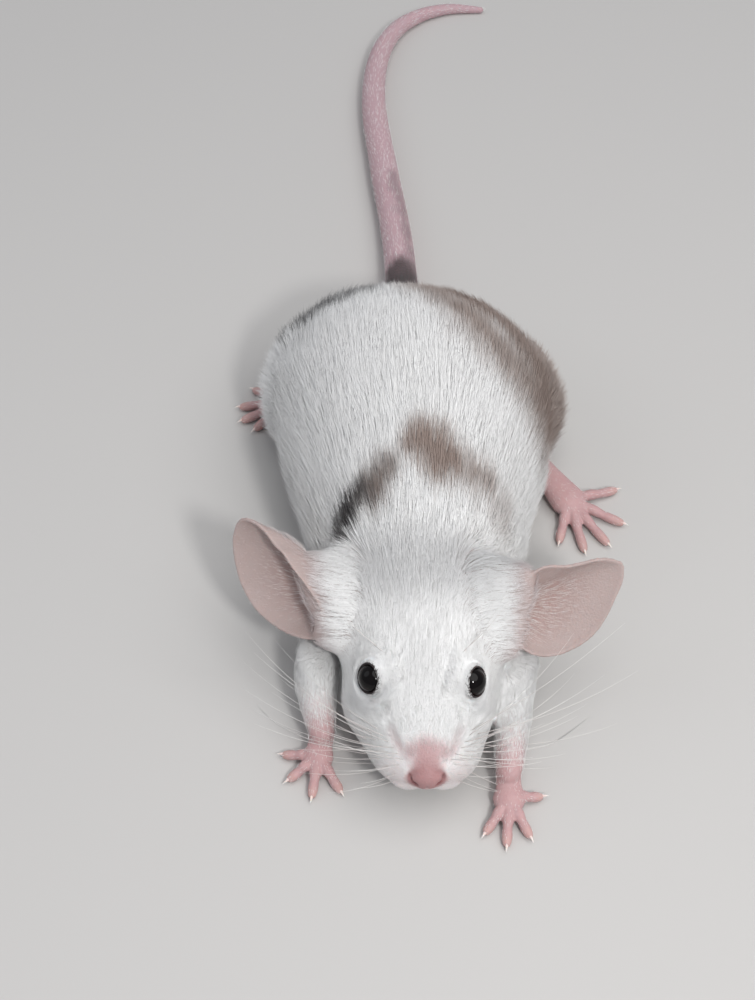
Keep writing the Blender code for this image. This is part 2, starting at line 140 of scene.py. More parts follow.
def flattened(vectors: Array, normals: Array) -> Array:
    """Takes out of each vector its part along the surface's normal."""
    return vectors - normals * (vectors * normals).sum(1, keepdims=True)


def distance_to_route(points: Array, route: tuple) -> Array:
    """Measures how far points lie from a line through a route.

    Args:
        points: The points.
        route: The route's own points.

    Returns:
        One distance for each point.
    """
    route = np.array(route, float)
    best = np.full(len(points), 1e9)
    for a, b in zip(route[:-1], route[1:]):
        along = b - a
        t = np.clip((points - a) @ along / (along @ along), 0, 1)
        best = np.minimum(best, np.linalg.norm(points - a - t[:, None] * along, axis=1))
    return best


def search_tree(points: Array) -> KDTree:
    """Sorts points so that the nearest one to a place is found fast.

    Args:
        points: The points.

    Returns:
        The tree.
    """
    tree = KDTree(len(points))
    for i, point in enumerate(points.tolist()):
        tree.insert(point, i)
    tree.balance()
    return tree


def nearest(tree: KDTree, places: Array) -> Array:
    """Finds the number of the nearest point to each place."""
    find = tree.find
    return np.array([find(place)[1] for place in places.tolist()])


# --- forms


class Region(Enum):
    """The kinds of surface that the mouse has."""

    BODY = 0
    LEG = 1
    FOOT = 2
    EAR = 3
    TAIL = 4


@dataclass
class Form:
    """A closed surface that is part of the mouse's flesh.

    Args:
        name: What it is.
        region: Which kind of surface.
        points: Its points, in millimetres.
        faces: Its faces, as rows of three or four point numbers.
        flow: The way that hair lies at each point.
        way: How far along the form each point is, from 0 at its root to 1 at its end.
    """

    name: str
    region: Region
    points: Array
    faces: list
    flow: Array
    way: Array


def grid_faces(rings: int, count: int, start: bool = True, end: bool = True) -> list:
    """Lists the faces between rings of points, with poles after them.

    Args:
        rings: How many rings.
        count: How many points each ring has.
        start: Whether a pole closes the first ring.
        end: Whether a pole closes the last ring.

    Returns:
        Arrays of quads and triangles.
    """
    i, k = np.meshgrid(np.arange(rings - 1), np.arange(count), indexing="ij")
    a, b = i * count + k, i * count + (k + 1) % count
    faces = [np.stack([a, b, b + count, a + count], -1).reshape(-1, 4)]
    k = np.arange(count)
    pole = rings * count
    if start:
        faces.append(np.stack([np.full(count, pole), (k + 1) % count, k], -1))
        pole += 1
    if end:
        base = (rings - 1) * count
        faces.append(np.stack([np.full(count, pole), base + k, base + (k + 1) % count], -1))
    return faces


def tube_form(name: str, region: Region, route: tuple, steps: int, count: int,
              flatness: float = 1.0, inset: tuple = ((0.0, 0.0), (1.0, 0.0))) -> Form:
    """Makes a round limb through (point, radius) pairs.

    Args:
        name: What it is.
        region: Which kind of surface.
        route: Pairs of a point and the radius there.
        steps: Rings for each stretch of the route.
        count: Points in each ring.
        flatness: The limb's height as a share of its width.
        inset: How far the flesh lies inside the route's radius, by place along it.

    Returns:
        The limb with round ends.
    """
    centres = np.array([point for point, _ in route], float)
    radii = np.array([radius for _, radius in route], float)
    lengths = np.concatenate([[0.0], np.cumsum(np.linalg.norm(np.diff(centres, axis=0), axis=1))])
    places = np.concatenate([
        np.linspace(a, b, steps, endpoint=False) for a, b in zip(lengths[:-1], lengths[1:])
    ] + [lengths[-1:]])
    line = eased(lengths, centres, places)
    width = eased(lengths, radii, places) - read_steps(inset, places / lengths[-1])
    ways = unit(np.gradient(line, axis=0))
    caps = np.radians([75.0, 50.0, 25.0])
    head = [
        (line[0] - ways[0] * width[0] * math.sin(a), width[0] * math.cos(a), ways[0], 0.0)
        for a in caps
    ]
    foot = [
        (line[-1] + ways[-1] * width[-1] * math.sin(a), width[-1] * math.cos(a), ways[-1], 1.0)
        for a in caps[::-1]
    ]
    body = list(zip(line, width, ways, places / lengths[-1]))
    points, flow, way = [], [], []
    turns = np.arange(count) * 2 * math.pi / count
    for centre, radius, direction, along in head + body + foot:
        side = unit(np.cross(direction, [0, 0, 1.0]))
        up = np.cross(side, direction)
        ring = np.outer(np.cos(turns), side) + flatness * np.outer(np.sin(turns), up)
        points.append(centre + radius * ring)
        flow.append(np.repeat(direction[None], count, 0))
        way.append(np.full(count, along))
    rings = len(points)
    points.append((line[0] - ways[0] * width[0])[None])
    points.append((line[-1] + ways[-1] * width[-1])[None])
    flow += [ways[:1], ways[-1:]]
    way += [np.zeros(1), np.ones(1)]
    points, flow, way = (np.concatenate(a) for a in (points, flow, way))
    return Form(name, region, points, grid_faces(rings, count), flow, way)


def ball_form(name: str, centre: tuple, radii: tuple, flow: tuple, turn: float = 0.0,
              way: float = 0.0, rings: int = 24, count: int = 36) -> Form:
    """Makes an ellipsoid whose coat lies one way.

    Args:
        name: What it is.
        centre: Its centre.
        radii: Its half widths along X, Y and Z.
        flow: The way that its hair lies.
        turn: How far it is turned round Z, in degrees.
        way: Its share along the form that it belongs to.
        rings: Rings from its top to its foot.
        count: Points in each ring.

    Returns:
        The ellipsoid.
    """
    polar = np.linspace(0, math.pi, rings + 2)[1:-1]
    turns = np.arange(count) * 2 * math.pi / count
    a, b = np.meshgrid(polar, turns, indexing="ij")
    ball = np.stack([np.sin(a) * np.cos(b), np.sin(a) * np.sin(b), np.cos(a)], -1).reshape(-1, 3)
    ball = np.concatenate([ball, [[0, 0, 1]], [[0, 0, -1]]])
    c, s = math.cos(math.radians(turn)), math.sin(math.radians(turn))
    spin = np.array([[c, -s, 0], [s, c, 0], [0, 0, 1]])
    points = centre + (ball * radii) @ spin.T
    flows = np.repeat(unit([flow]), len(points), 0)
    ways = np.full(len(points), way)
    return Form(name, Region.BODY, points, grid_faces(rings, count), flows, ways)


@dataclass(frozen=True)
class Section:
    """A cross-section of the body, out to the tips of the coat, in millimetres."""

    y: float
    half_width: float
    top: float
    bottom: float
    widest: float
    shift: float = 0.0
    crown: float = 2.0
    keel: float = 2.0


@dataclass(frozen=True)
class Swelling:
    """A soft bulge of the surface near a point, or a hollow where height is negative."""

    centre: tuple
    reach: float
    height: float


@dataclass(frozen=True)
class Eye:
    """An eyeball: where it lies, which way it looks and how wide its lids open."""

    name: str
    centre: tuple
    looking: tuple
    radius: float = 1.72
    opening: float = 68.0
    lid: float = 0.22

    @property
    def axis(self) -> Array:
        """The unit direction in which the eye looks."""
        return unit(self.looking)

    @property
    def rim(self) -> float:
        """The radius of the lids' opening."""
        return self.radius * math.sin(math.radians(self.opening))

    def measured(self, points: Array) -> tuple:
        """Measures where points lie from the eye's centre.

        Args:
            points: The points.

        Returns:
            How far forward each lies, and how far off the eye's axis.
        """
        away = points - self.centre
        height = away @ self.axis
        return height, np.linalg.norm(away - height[:, None] * self.axis, axis=1)

    def outward(self, points: Array) -> Array:
        """The unit direction from the eye's axis out to each point."""
        away = points - self.centre
        return unit(away - self.axis * (away @ self.axis)[:, None])

    def rim_gap(self, points: Array) -> Array:
        """How far points lie outside the lids' opening, and 99 for those not near it."""
        height, across = self.measured(points)
        return np.where((height > 0) & (height < 3), across - self.rim, 99.0)


EYES = (
    Eye("eye_right", (-5.12, -29.0, 12.3), (-0.76, -0.44, 0.48)),
    Eye("eye_left", (5.45, -29.4, 12.2), (0.80, -0.40, 0.45)),
)


@dataclass
class BodyForm:
    """The body from the nose to the root of the tail."""

    # Each row: y, half width, top, bottom, height of the widest part, sideways shift, crown.
    sections: tuple = tuple(Section(*row) for row in (
        (-38.9, 2.2, 9.1, 4.9, 7.2, 0.6),
        (-38.0, 4.0, 9.9, 3.7, 6.7, 0.6),
        (-36.0, 5.9, 11.2, 3.0, 6.3, 0.5),
        (-33.5, 7.3, 12.6, 2.7, 6.2, 0.3),
        (-31.0, 8.6, 14.1, 2.4, 6.6, 0.0),
        (-28.0, 9.2, 15.8, 2.4, 7.3, 0.0),
        (-24.5, 9.7, 17.6, 2.4, 8.2, 0.1),
        (-21.0, 10.2, 19.0, 2.4, 9.0, 0.2, 2.2),
        (-17.0, 11.0, 20.2, 2.1, 9.6, 0.2, 2.2),
        (-12.5, 12.3, 21.5, 1.6, 9.8, 0.1),
        (-7.0, 14.0, 23.0, 0.4, 9.9, 0.0),
        (-1.0, 15.9, 24.3, -0.4, 9.8, -0.1),
        (6.0, 17.5, 25.2, -0.6, 9.7, -0.2),
        (13.0, 18.2, 25.2, -0.6, 9.7, -0.3),
        (20.0, 17.2, 23.2, -0.4, 9.6, -0.6),
        (26.0, 15.0, 19.7, -0.2, 9.1, -1.4),
        (30.5, 11.6, 15.6, 0.2, 7.7, -1.6),
        (34.0, 7.6, 11.4, 0.6, 6.0, -1.6),
        (37.0, 4.2, 8.0, 0.7, 4.4, -1.5),
        (39.5, 2.6, 5.8, 0.5, 3.1, -1.4),
        (42.0, 2.4, 5.0, 0.3, 2.6, -1.35),
    ))
    nose_tip: tuple = (0.6, -39.3, 7.6)
    rings: int = 150
    count: int = 84
    coat_depth: tuple = (
        (-39.3, 0.10), (-37.5, 0.25), (-34.0, 0.50), (-29.0, 0.85), (-23.0, 1.30), (-17.0, 1.90),
        (-11.0, 2.40), (0.0, 2.60), (22.0, 2.60), (31.0, 2.10), (36.0, 1.00), (39.0, 0.40),
        (42.0, 0.20),
    )
    belly_depth_share: float = 0.35
    core_height: float = 9.0
    eye_thinning: float = 0.45
    eye_thinning_reach: float = 3.4
    eye_swelling: float = 0.18
    eye_swelling_reach: float = 2.8
    swellings: tuple = (
        Swelling(centre=(-3.2, -36.2, 6.6), reach=2.3, height=0.6),
        Swelling(centre=(4.4, -36.2, 6.6), reach=2.3, height=0.6),
        Swelling(centre=(0.6, -37.2, 9.6), reach=1.5, height=0.25),
        Swelling(centre=(-5.2, -26.6, 14.2), reach=2.2, height=0.4),
        Swelling(centre=(5.8, -26.9, 14.2), reach=2.2, height=0.4),
    )

    def make(self) -> Form:
        """Lofts the body inside its coat.

        Returns:
            The body.
        """
        knots = np.array([s.y for s in self.sections])
        along = np.linspace(0, 1, self.rings)
        # The rings crowd together towards the nose, where the form is smallest.
        y = knots[0] + (knots[-1] - knots[0]) * (0.45 * along + 0.55 * along**1.8)
        read = {
            name: eased(knots, np.array([getattr(s, name) for s in self.sections]), y)[:, None]
            for name in ("half_width", "top", "bottom", "widest", "shift", "crown", "keel")
        }
        turns = np.arange(self.count) * 2 * math.pi / self.count
        across, upright = np.cos(turns)[None], np.sin(turns)[None]
        power = np.where(upright > 0, 2 / read["crown"], 2 / read["keel"])
        reach = np.where(upright > 0, read["top"] - read["widest"], read["widest"] - read["bottom"])
        x = read["shift"] + read["half_width"] * np.sign(across) * np.abs(across) ** power
        z = read["widest"] + reach * np.sign(upright) * np.abs(upright) ** power
        grid = np.stack([x, np.broadcast_to(y[:, None], x.shape), z], -1)
        around = np.roll(grid, -1, 1) - np.roll(grid, 1, 1)
        back = np.gradient(grid, axis=0)
        normals = unit(np.cross(around, back))
        flat = grid.reshape(-1, 3)
        normals = normals.reshape(-1, 3)
        from_core = (flat - [0, 0, self.core_height]) * [1, 0, 1]
        outward = np.sign(np.sum(normals * from_core, 1))
        normals *= np.median(outward)
        move = np.zeros(len(flat))
        for swelling in self.swellings:
            gap = np.linalg.norm(flat - swelling.centre, axis=1) / swelling.reach
            move += swelling.height * np.exp(-(gap**2))
        depth = read_steps(self.coat_depth, flat[:, 1])
        for eye in EYES:
            gap = np.linalg.norm(flat - eye.centre, axis=1)
            depth *= 1 - self.eye_thinning * np.exp(-((gap / self.eye_thinning_reach) ** 2))
            move += self.eye_swelling * np.exp(-((gap / self.eye_swelling_reach) ** 2))
        downward = smoothstep(-0.35, -0.95, np.minimum(normals[:, 2], 0))
        depth = depth * (1 - (1 - self.belly_depth_share) * downward)
        points = flat + normals * (move - depth)[:, None]
        flow = unit(back.reshape(-1, 3))
        points = np.concatenate([points, [self.nose_tip], [points[-self.count:].mean(0)]])
        flow = np.concatenate([flow, [[0, 0, 1.0]], [[0, 1.0, 0]]])
        way = np.concatenate([np.repeat(along, self.count), [0, 1]])
        return Form("body", Region.BODY, points, grid_faces(self.rings, self.count), flow, way)


@dataclass
class Haunch:
    """A thigh and knee that stand out at the side of the rump."""

    name: str
    centre: tuple
    radii: tuple
    turn: float
    coat_depth: float = 2.2
    flow: tuple = (0.0, 0.85, -0.55)

    def make(self) -> Form:
        """Makes the haunch inside its coat."""
        radii = np.array(self.radii) - self.coat_depth
        return ball_form(self.name, self.centre, radii, self.flow, self.turn, 0.2, 40, 56)


@dataclass
class Foot:
    """A paw or hind foot with its toes."""

    name: str
    heel: tuple
    ball: tuple
    heel_radius: float
    ball_radius: float
    flatness: float
    toe_radius: float
    toes: tuple
    claw_length: float = 0.87

    def toe_route(self, heading: float, reach: float) -> tuple:
        """Finds a toe's joints.

        Args:
            heading: Where it points, in degrees from -Y towards +X.
            reach: Its length from the ball of the foot, in millimetres.

        Returns:
            Pairs of a point and radius from the ball to the tip, and the toe's level direction.
        """
        turn = math.radians(heading)
        way = np.array([math.sin(turn), -math.cos(turn), 0.0])
        r = self.toe_radius
        root = np.array(self.ball, float)

        def joint(share: float, height: float) -> Array:
            """A point of the toe at a share of its reach."""
            return np.append((root + way * reach * share)[:2], height)

        route = (
            (root, r * 1.15),
            (joint(0.30, root[2] * 0.6 + r * 0.7), r * 1.02),
            (joint(0.50, r * 1.75), r * 1.06),
            (joint(0.66, r * 1.35), r * 0.86),
            (joint(0.80, r * 1.12), r * 0.94),
            (joint(0.93, r * 0.95), r * 0.90),
            (joint(1.00, r * 0.86), r * 0.78),
        )
        return route, way

    def make(self) -> list:
        """Makes the sole and the toes.

        Returns:
            The foot's forms.
        """
        heel, ball = np.array(self.heel), np.array(self.ball)
        middle = (heel + ball) / 2
        radius = self.heel_radius
        sole = ((heel, radius), (middle, radius * 0.98), (ball, self.ball_radius))
        forms = [tube_form(self.name, Region.FOOT, sole, 10, 32, self.flatness)]
        for heading, reach in self.toes:
            route, _ = self.toe_route(heading, reach)
            toe = tube_form(f"{self.name}_toe", Region.FOOT, route, 5, 18)
            toe.way = 0.5 + 0.5 * toe.way
            forms.append(toe)
        forms[0].way = forms[0].way * 0.5
        return forms


@dataclass
class Limb:
    """A foreleg from the shoulder to the wrist."""

    name: str
    route: tuple
    coat_depth: tuple = ((0.0, 1.1), (0.5, 0.8), (0.85, 0.25), (1.0, 0.05))

    def make(self) -> Form:
        """Makes the leg inside its coat."""
        return tube_form(self.name, Region.LEG, self.route, 12, 36, inset=self.coat_depth)


@dataclass
class Tail:
    """The tail, which lies on the floor in a slow curl."""

    route: tuple = (
        ((-1.4, 37.5, 3.3), 2.35), ((-1.35, 44.0, 2.5), 2.25), ((-2.0, 54.5, 2.15), 2.15),
        ((-3.9, 70.5, 2.0), 2.02), ((-5.3, 85.5, 1.82), 1.83), ((-4.5, 97.0, 1.6), 1.60),
        ((-1.8, 104.8, 1.34), 1.34), ((2.2, 109.2, 1.10), 1.09), ((7.0, 111.4, 0.84), 0.84),
        ((12.2, 111.6, 0.54), 0.52),
    )

    def make(self) -> Form:
        """Makes the bare tail."""
        return tube_form("tail", Region.TAIL, self.route, 16, 30)


@dataclass
class Ear:
    """A thin cupped ear whose rim lies round a centre and whose well is in the head."""

    name: str
    centre: tuple
    upward: tuple
    facing: tuple
    rim: tuple
    well: tuple
    wall_depth: float
    front_depth: float
    front_heading: float
    peak: tuple = (0.0, 0.0, 10.0)
    seat: tuple = ()
    mounds: tuple = ()
    thickness: float = 0.36
    rim_roll: float = 0.06
    wall_share: float = 0.35
    well_share: float = 0.8

    def sheet(self, rings: int, count: int) -> Array:
        """Finds the cup's middle surface.

        Args:
            rings: Rings from the rim to the well.
            count: Points round each ring.

        Returns:
            Points of shape (rings, count, 3).
        """
        upward = unit(self.upward)
        facing = np.array(self.facing)
        facing = unit(facing - upward * (facing @ upward))
        outward = np.cross(facing, upward)
        angles = np.arange(count) * 360.0 / count
        size = len(self.rim)
        knots = 360.0 / size * np.arange(-2, size + 3)
        reach = eased(knots, np.array([self.rim[k % size] for k in range(-2, size + 3)]), angles)
        apart = np.abs((angles - self.peak[0] + 180) % 360 - 180)
        reach = reach + self.peak[1] * np.exp(-apart / self.peak[2])
        turn = np.radians(angles)
        rim = np.array(self.centre) + reach[:, None] * (
            np.cos(turn)[:, None] * upward + np.sin(turn)[:, None] * outward
        )
        frontness = 0.5 + 0.5 * np.cos(np.radians(angles - self.front_heading))
        depth = self.wall_depth + (self.front_depth - self.wall_depth) * frontness
        well = np.array(self.well)
        wall = rim + (well - rim) * self.wall_share - facing * depth[:, None]
        inward = np.linspace(0, self.well_share, rings)[:, None, None]
        return rim * (1 - inward) ** 2 + wall * 2 * inward * (1 - inward) + well * inward**2

    def make(self) -> Form:
        """Makes the ear as a shell with a rolled rim.

        Returns:
            The ear.
        """
        rings, count = 26, 84
        sheet = self.sheet(rings, count)
        around = np.roll(sheet, -1, 1) - np.roll(sheet, 1, 1)
        inward = np.gradient(sheet, axis=0)
        normals = unit(np.cross(around, inward))
        half = np.full((rings, 1, 1), self.thickness / 2)
        half[:2] += self.rim_roll / 2
        points = np.concatenate([sheet + normals * half, sheet - normals * half]).reshape(-1, 3)
        offset = rings * count
        front = grid_faces(rings, count, False, False)[0]
        back = front[:, ::-1] + offset
        k = np.arange(count)
        following = (k + 1) % count
        rim = np.stack([following, k, k + offset, following + offset], -1)
        base = (rings - 1) * count
        inner = np.stack([k, following, following + offset, k + offset], -1) + base
        flow = np.tile(unit(-inward).reshape(-1, 3), (2, 1))
        way = np.tile(np.repeat(np.linspace(1, 0, rings), count), 2)
        return Form(self.name, Region.EAR, points, [front, back, rim, inner], flow, way)


LIMBS = (
    Limb("foreleg_right", (
        ((-7.4, -14.5, 7.8), 3.4), ((-11.0, -19.5, 5.9), 3.4), ((-11.7, -24.5, 5.0), 3.0),
        ((-11.3, -28.2, 3.9), 2.2), ((-11.0, -30.4, 2.7), 1.6),
    )),
    Limb("foreleg_left", (
        ((7.4, -14.5, 7.8), 3.4), ((10.6, -20.5, 6.2), 3.7), ((10.6, -27.0, 5.2), 2.9),
        ((10.2, -32.0, 4.0), 2.1), ((9.9, -35.2, 2.7), 1.6),
    )),
)
FEET = (
    Foot("forepaw_right", (-11.0, -29.6, 2.2), (-11.4, -32.2, 1.25), 1.45, 1.75, 0.70, 0.64,
         ((32, 4.5), (-8, 4.5), (-52, 3.9), (-100, 3.8))),
    Foot("forepaw_left", (9.9, -34.6, 2.2), (9.9, -37.6, 1.25), 1.45, 1.85, 0.70, 0.64,
         ((-35, 4.5), (-5, 5.2), (26, 4.6), (100, 3.5))),
    Foot("hindfoot_right", (-8.2, 26.4, 2.4), (-16.6, 22.6, 1.4), 1.7, 2.3, 0.62, 0.66,
         ((-20, 4.6), (-45, 5.6), (-66, 6.2), (-88, 6.0), (-122, 5.2))),
    Foot("hindfoot_left", (13.4, 14.8, 2.4), (19.4, 5.4, 1.4), 1.7, 2.3, 0.62, 0.66,
         ((-14, 5.8), (12, 7.2), (36, 7.4), (66, 7.0), (112, 6.5))),
)
EARS = (
    Ear(
        "ear_right", (-17.0, -16.7, 13.8), (-0.42, 0.71, 0.57), (-0.63, -0.68, 0.38),
        (7.6, 6.8, 5.7, 5.0, 4.7, 4.6, 4.8, 5.1, 5.8, 7.0, 8.6, 8.4, 6.0, 4.6, 4.2, 4.4, 4.8, 6.4),
        (-7.6, -18.6, 12.6), 1.2, 3.6, 280.0,
        seat=((-10.9, -22.6, 11.6), (-11.4, -20.0, 13.6), (-12.2, -17.6, 15.2), (-12.8, -15.6, 15.9)),
        mounds=(
            (((-5.5, -22.4, 11.0), 3.2), ((-8.9, -22.5, 11.3), 2.4), ((-11.2, -22.6, 11.3), 1.5)),
            (((-5.5, -20.4, 12.2), 3.6), ((-9.2, -20.2, 13.0), 2.7), ((-11.9, -19.8, 13.9), 1.5)),
            (((-6.0, -18.0, 13.2), 3.6), ((-9.8, -17.8, 14.2), 2.7), ((-12.9, -17.3, 15.3), 1.5)),
            (((-6.5, -16.0, 13.2), 3.4), ((-10.2, -15.8, 14.2), 2.4), ((-13.4, -15.2, 15.6), 1.2)),
        ),
    ),
    Ear(
        "ear_left", (15.9, -20.5, 15.0), (0.75, 0.51, 0.42), (0.15, -0.75, 0.65),
        (6.6, 4.8, 4.0, 4.1, 4.5, 4.6, 4.5, 5.0, 6.0, 6.8, 6.9, 6.4, 5.8, 5.5, 5.4, 5.5, 6.0, 7.0),
        (8.0, -20.4, 12.8), 1.8, 1.4, 90.0, peak=(350.0, 1.1, 11.0),
        seat=((11.2, -18.4, 17.0), (11.3, -19.6, 15.6), (11.0, -21.4, 14.0), (10.6, -23.6, 12.0)),
        mounds=(
            (((5.5, -17.8, 15.0), 3.4), ((9.0, -18.3, 15.8), 2.6), ((12.0, -18.4, 16.8), 1.6)),
            (((5.5, -20.2, 13.8), 3.6), ((9.0, -20.2, 14.4), 2.7), ((11.8, -20.2, 14.9), 1.6)),
            (((5.5, -22.2, 12.4), 3.4), ((8.8, -22.4, 12.8), 2.5), ((11.2, -22.8, 12.9), 1.4)),
            (((5.5, -24.0, 11.0), 3.0), ((8.6, -24.3, 11.2), 2.0), ((10.6, -24.8, 11.0), 1.1)),
        ),
    ),
)


@dataclass(frozen=True)
class Groove:
    """A fine line pressed into the skin."""

    route: tuple
    depth: float
    width: float


BRIDGE_EDGES = (
    ((-0.9, -38.4, 8.3), (-1.6, -37.2, 9.2), (-2.8, -35.7, 10.3), (-3.5, -34.5, 10.9)),
    ((2.1, -38.4, 8.3), (2.8, -37.2, 9.2), (4.0, -35.8, 10.2), (4.7, -34.6, 10.8)),
)
NOSTRIL_LINES = (
    ((-0.35, -39.75, 6.75), (-0.85, -39.4, 6.95), (-1.15, -38.9, 7.4), (-1.2, -38.5, 8.0)),
    ((1.55, -39.75, 6.75), (2.05, -39.4, 6.95), (2.35, -38.9, 7.4), (2.4, -38.5, 8.0)),
)
LIP_CLEFT = ((0.6, -40.0, 7.6), (0.6, -39.8, 6.7), (0.6, -39.2, 5.8), (0.6, -38.6, 5.0))
MOUTH_LINES = (
    ((0.6, -38.6, 5.0), (-0.9, -38.0, 4.5), (-2.6, -36.8, 4.1), (-4.2, -34.8, 3.9)),
    ((0.6, -38.6, 5.0), (2.1, -38.0, 4.5), (3.8, -36.8, 4.1), (5.4, -34.8, 3.9)),
)


@dataclass
class Face:
    """The small forms of the face: lids, nostrils and mouth."""

    nose_centre: tuple = (0.6, -38.6, 7.35)
    nose_radii: tuple = (1.80, 1.20, 1.50)
    grooves: tuple = (
        *(Groove(route, 0.42, 0.20) for route in NOSTRIL_LINES),
        Groove(LIP_CLEFT, 0.28, 0.16),
        *(Groove(route, 0.40, 0.24) for route in MOUTH_LINES),
        *(Groove(route, 0.16, 0.50) for route in BRIDGE_EDGES),
    )
    bridge: tuple = (
        ((0.6, -38.2, 7.5), 1.55), ((0.6, -37.5, 8.0), 1.65), ((0.6, -36.3, 8.8), 1.75),
        ((0.6, -34.9, 9.5), 1.7),
    )
    nostrils: tuple = ((-0.75, -39.45, 7.1), (1.95, -39.45, 7.1))
    lid_reach: float = 4.5
    lid_heights: tuple = (-1.2, 4.0)
    lid_blend: float = 0.6
    lid_roll: float = 0.20
    dome_turn: float = 76.0
    dome_slope: float = 0.85
    dome_hold: tuple = (0.75, 0.25)
    lid_edge: tuple = (0.05, -0.16)
    socket_depth: float = 0.42
    lid_shadow: tuple = (0.42, 0.14)
    nostril_shadow: float = 0.42
    groove_shadow: float = 0.20
    nostril_depth: float = 0.55
    nostril_width: float = 0.34

    def forms(self) -> list:
        """Makes the nose's pad, the lips and the bridge."""
        return [
            ball_form("nose", self.nose_centre, self.nose_radii, (0, 1.0, 0.3)),
            ball_form("lip_right", (-1.2, -37.25, 5.5), (2.2, 1.55, 1.5), (-0.7, 0.5, -0.35)),
            ball_form("lip_left", (2.4, -37.25, 5.5), (2.2, 1.55, 1.5), (0.7, 0.5, -0.35)),
            tube_form("bridge", Region.BODY, self.bridge, 8, 32),
        ]

    def press_grooves(self, points: Array, normals: Array) -> Array:
        """Presses the nostrils, the lip's cleft and the mouth into the skin.

        Args:
            points: The skin's points.
            normals: The way that the skin faces at each.

        Returns:
            The points in their new places.
        """
        near = points[:, 1] < -33
        p = points[near]
        depth = np.zeros(len(p))
        for groove in self.grooves:
            gap = distance_to_route(p, groove.route)
            depth += groove.depth * np.exp(-((gap / groove.width) ** 2))
        for nostril in self.nostrils:
            gap = np.linalg.norm(p - nostril, axis=1)
            depth += self.nostril_depth * np.exp(-((gap / self.nostril_width) ** 2))
        moved = points.copy()
        moved[near] = p - normals[near] * depth[:, None]
        return moved

    def open_lids(self, points: Array) -> Array:
        """Opens the lids over each eyeball and rolls their edges.

        Args:
            points: The skin's points.

        Returns:
            The points, with those round each eye moved along the way that it looks.
        """
        moved = points.copy()
        for eye in EYES:
            height, across = eye.measured(moved)
            low, high = self.lid_heights
            near = (across < self.lid_reach) & (height > low) & (height < high)
            height, across = height[near], across[near]
            edge = np.exp(-(((across - eye.rim - 0.12) / self.lid_roll) ** 2))
            # The lids are thickest at their rolled edge and thin out over the ball.
            outer = eye.radius + eye.lid * (0.55 + 0.45 * edge)
            turn = outer * math.sin(math.radians(self.dome_turn))
            dome = np.sqrt(np.maximum(outer**2 - np.minimum(across, turn) ** 2, 0))
            dome -= np.maximum(across - turn, 0) * self.dome_slope
            share = np.clip(0.5 + 0.5 * (height - dome) / self.lid_blend, 0, 1)
            raised = height * share + dome * (1 - share) + self.lid_blend * share * (1 - share)
            # Near the opening the skin lies on the dome, and inside it sinks behind the ball.
            hold = smoothstep(eye.rim + self.dome_hold[0], eye.rim + self.dome_hold[1], across)
            raised = raised + (dome - raised) * hold
            inside = smoothstep(eye.rim + self.lid_edge[0], eye.rim + self.lid_edge[1], across)
            sunk = np.sqrt(np.maximum(eye.radius**2 - across**2, 0)) - self.socket_depth
            raised = raised + (sunk - raised) * inside
            moved[near] += (raised - height)[:, None] * eye.axis
        return moved


# --- markings


@dataclass(frozen=True)
class Patch:
    """A patch of coloured coat: an ellipsoid along a line, with a ragged soft edge."""

    route: tuple
    reach: float
    softness: float
    strength: float


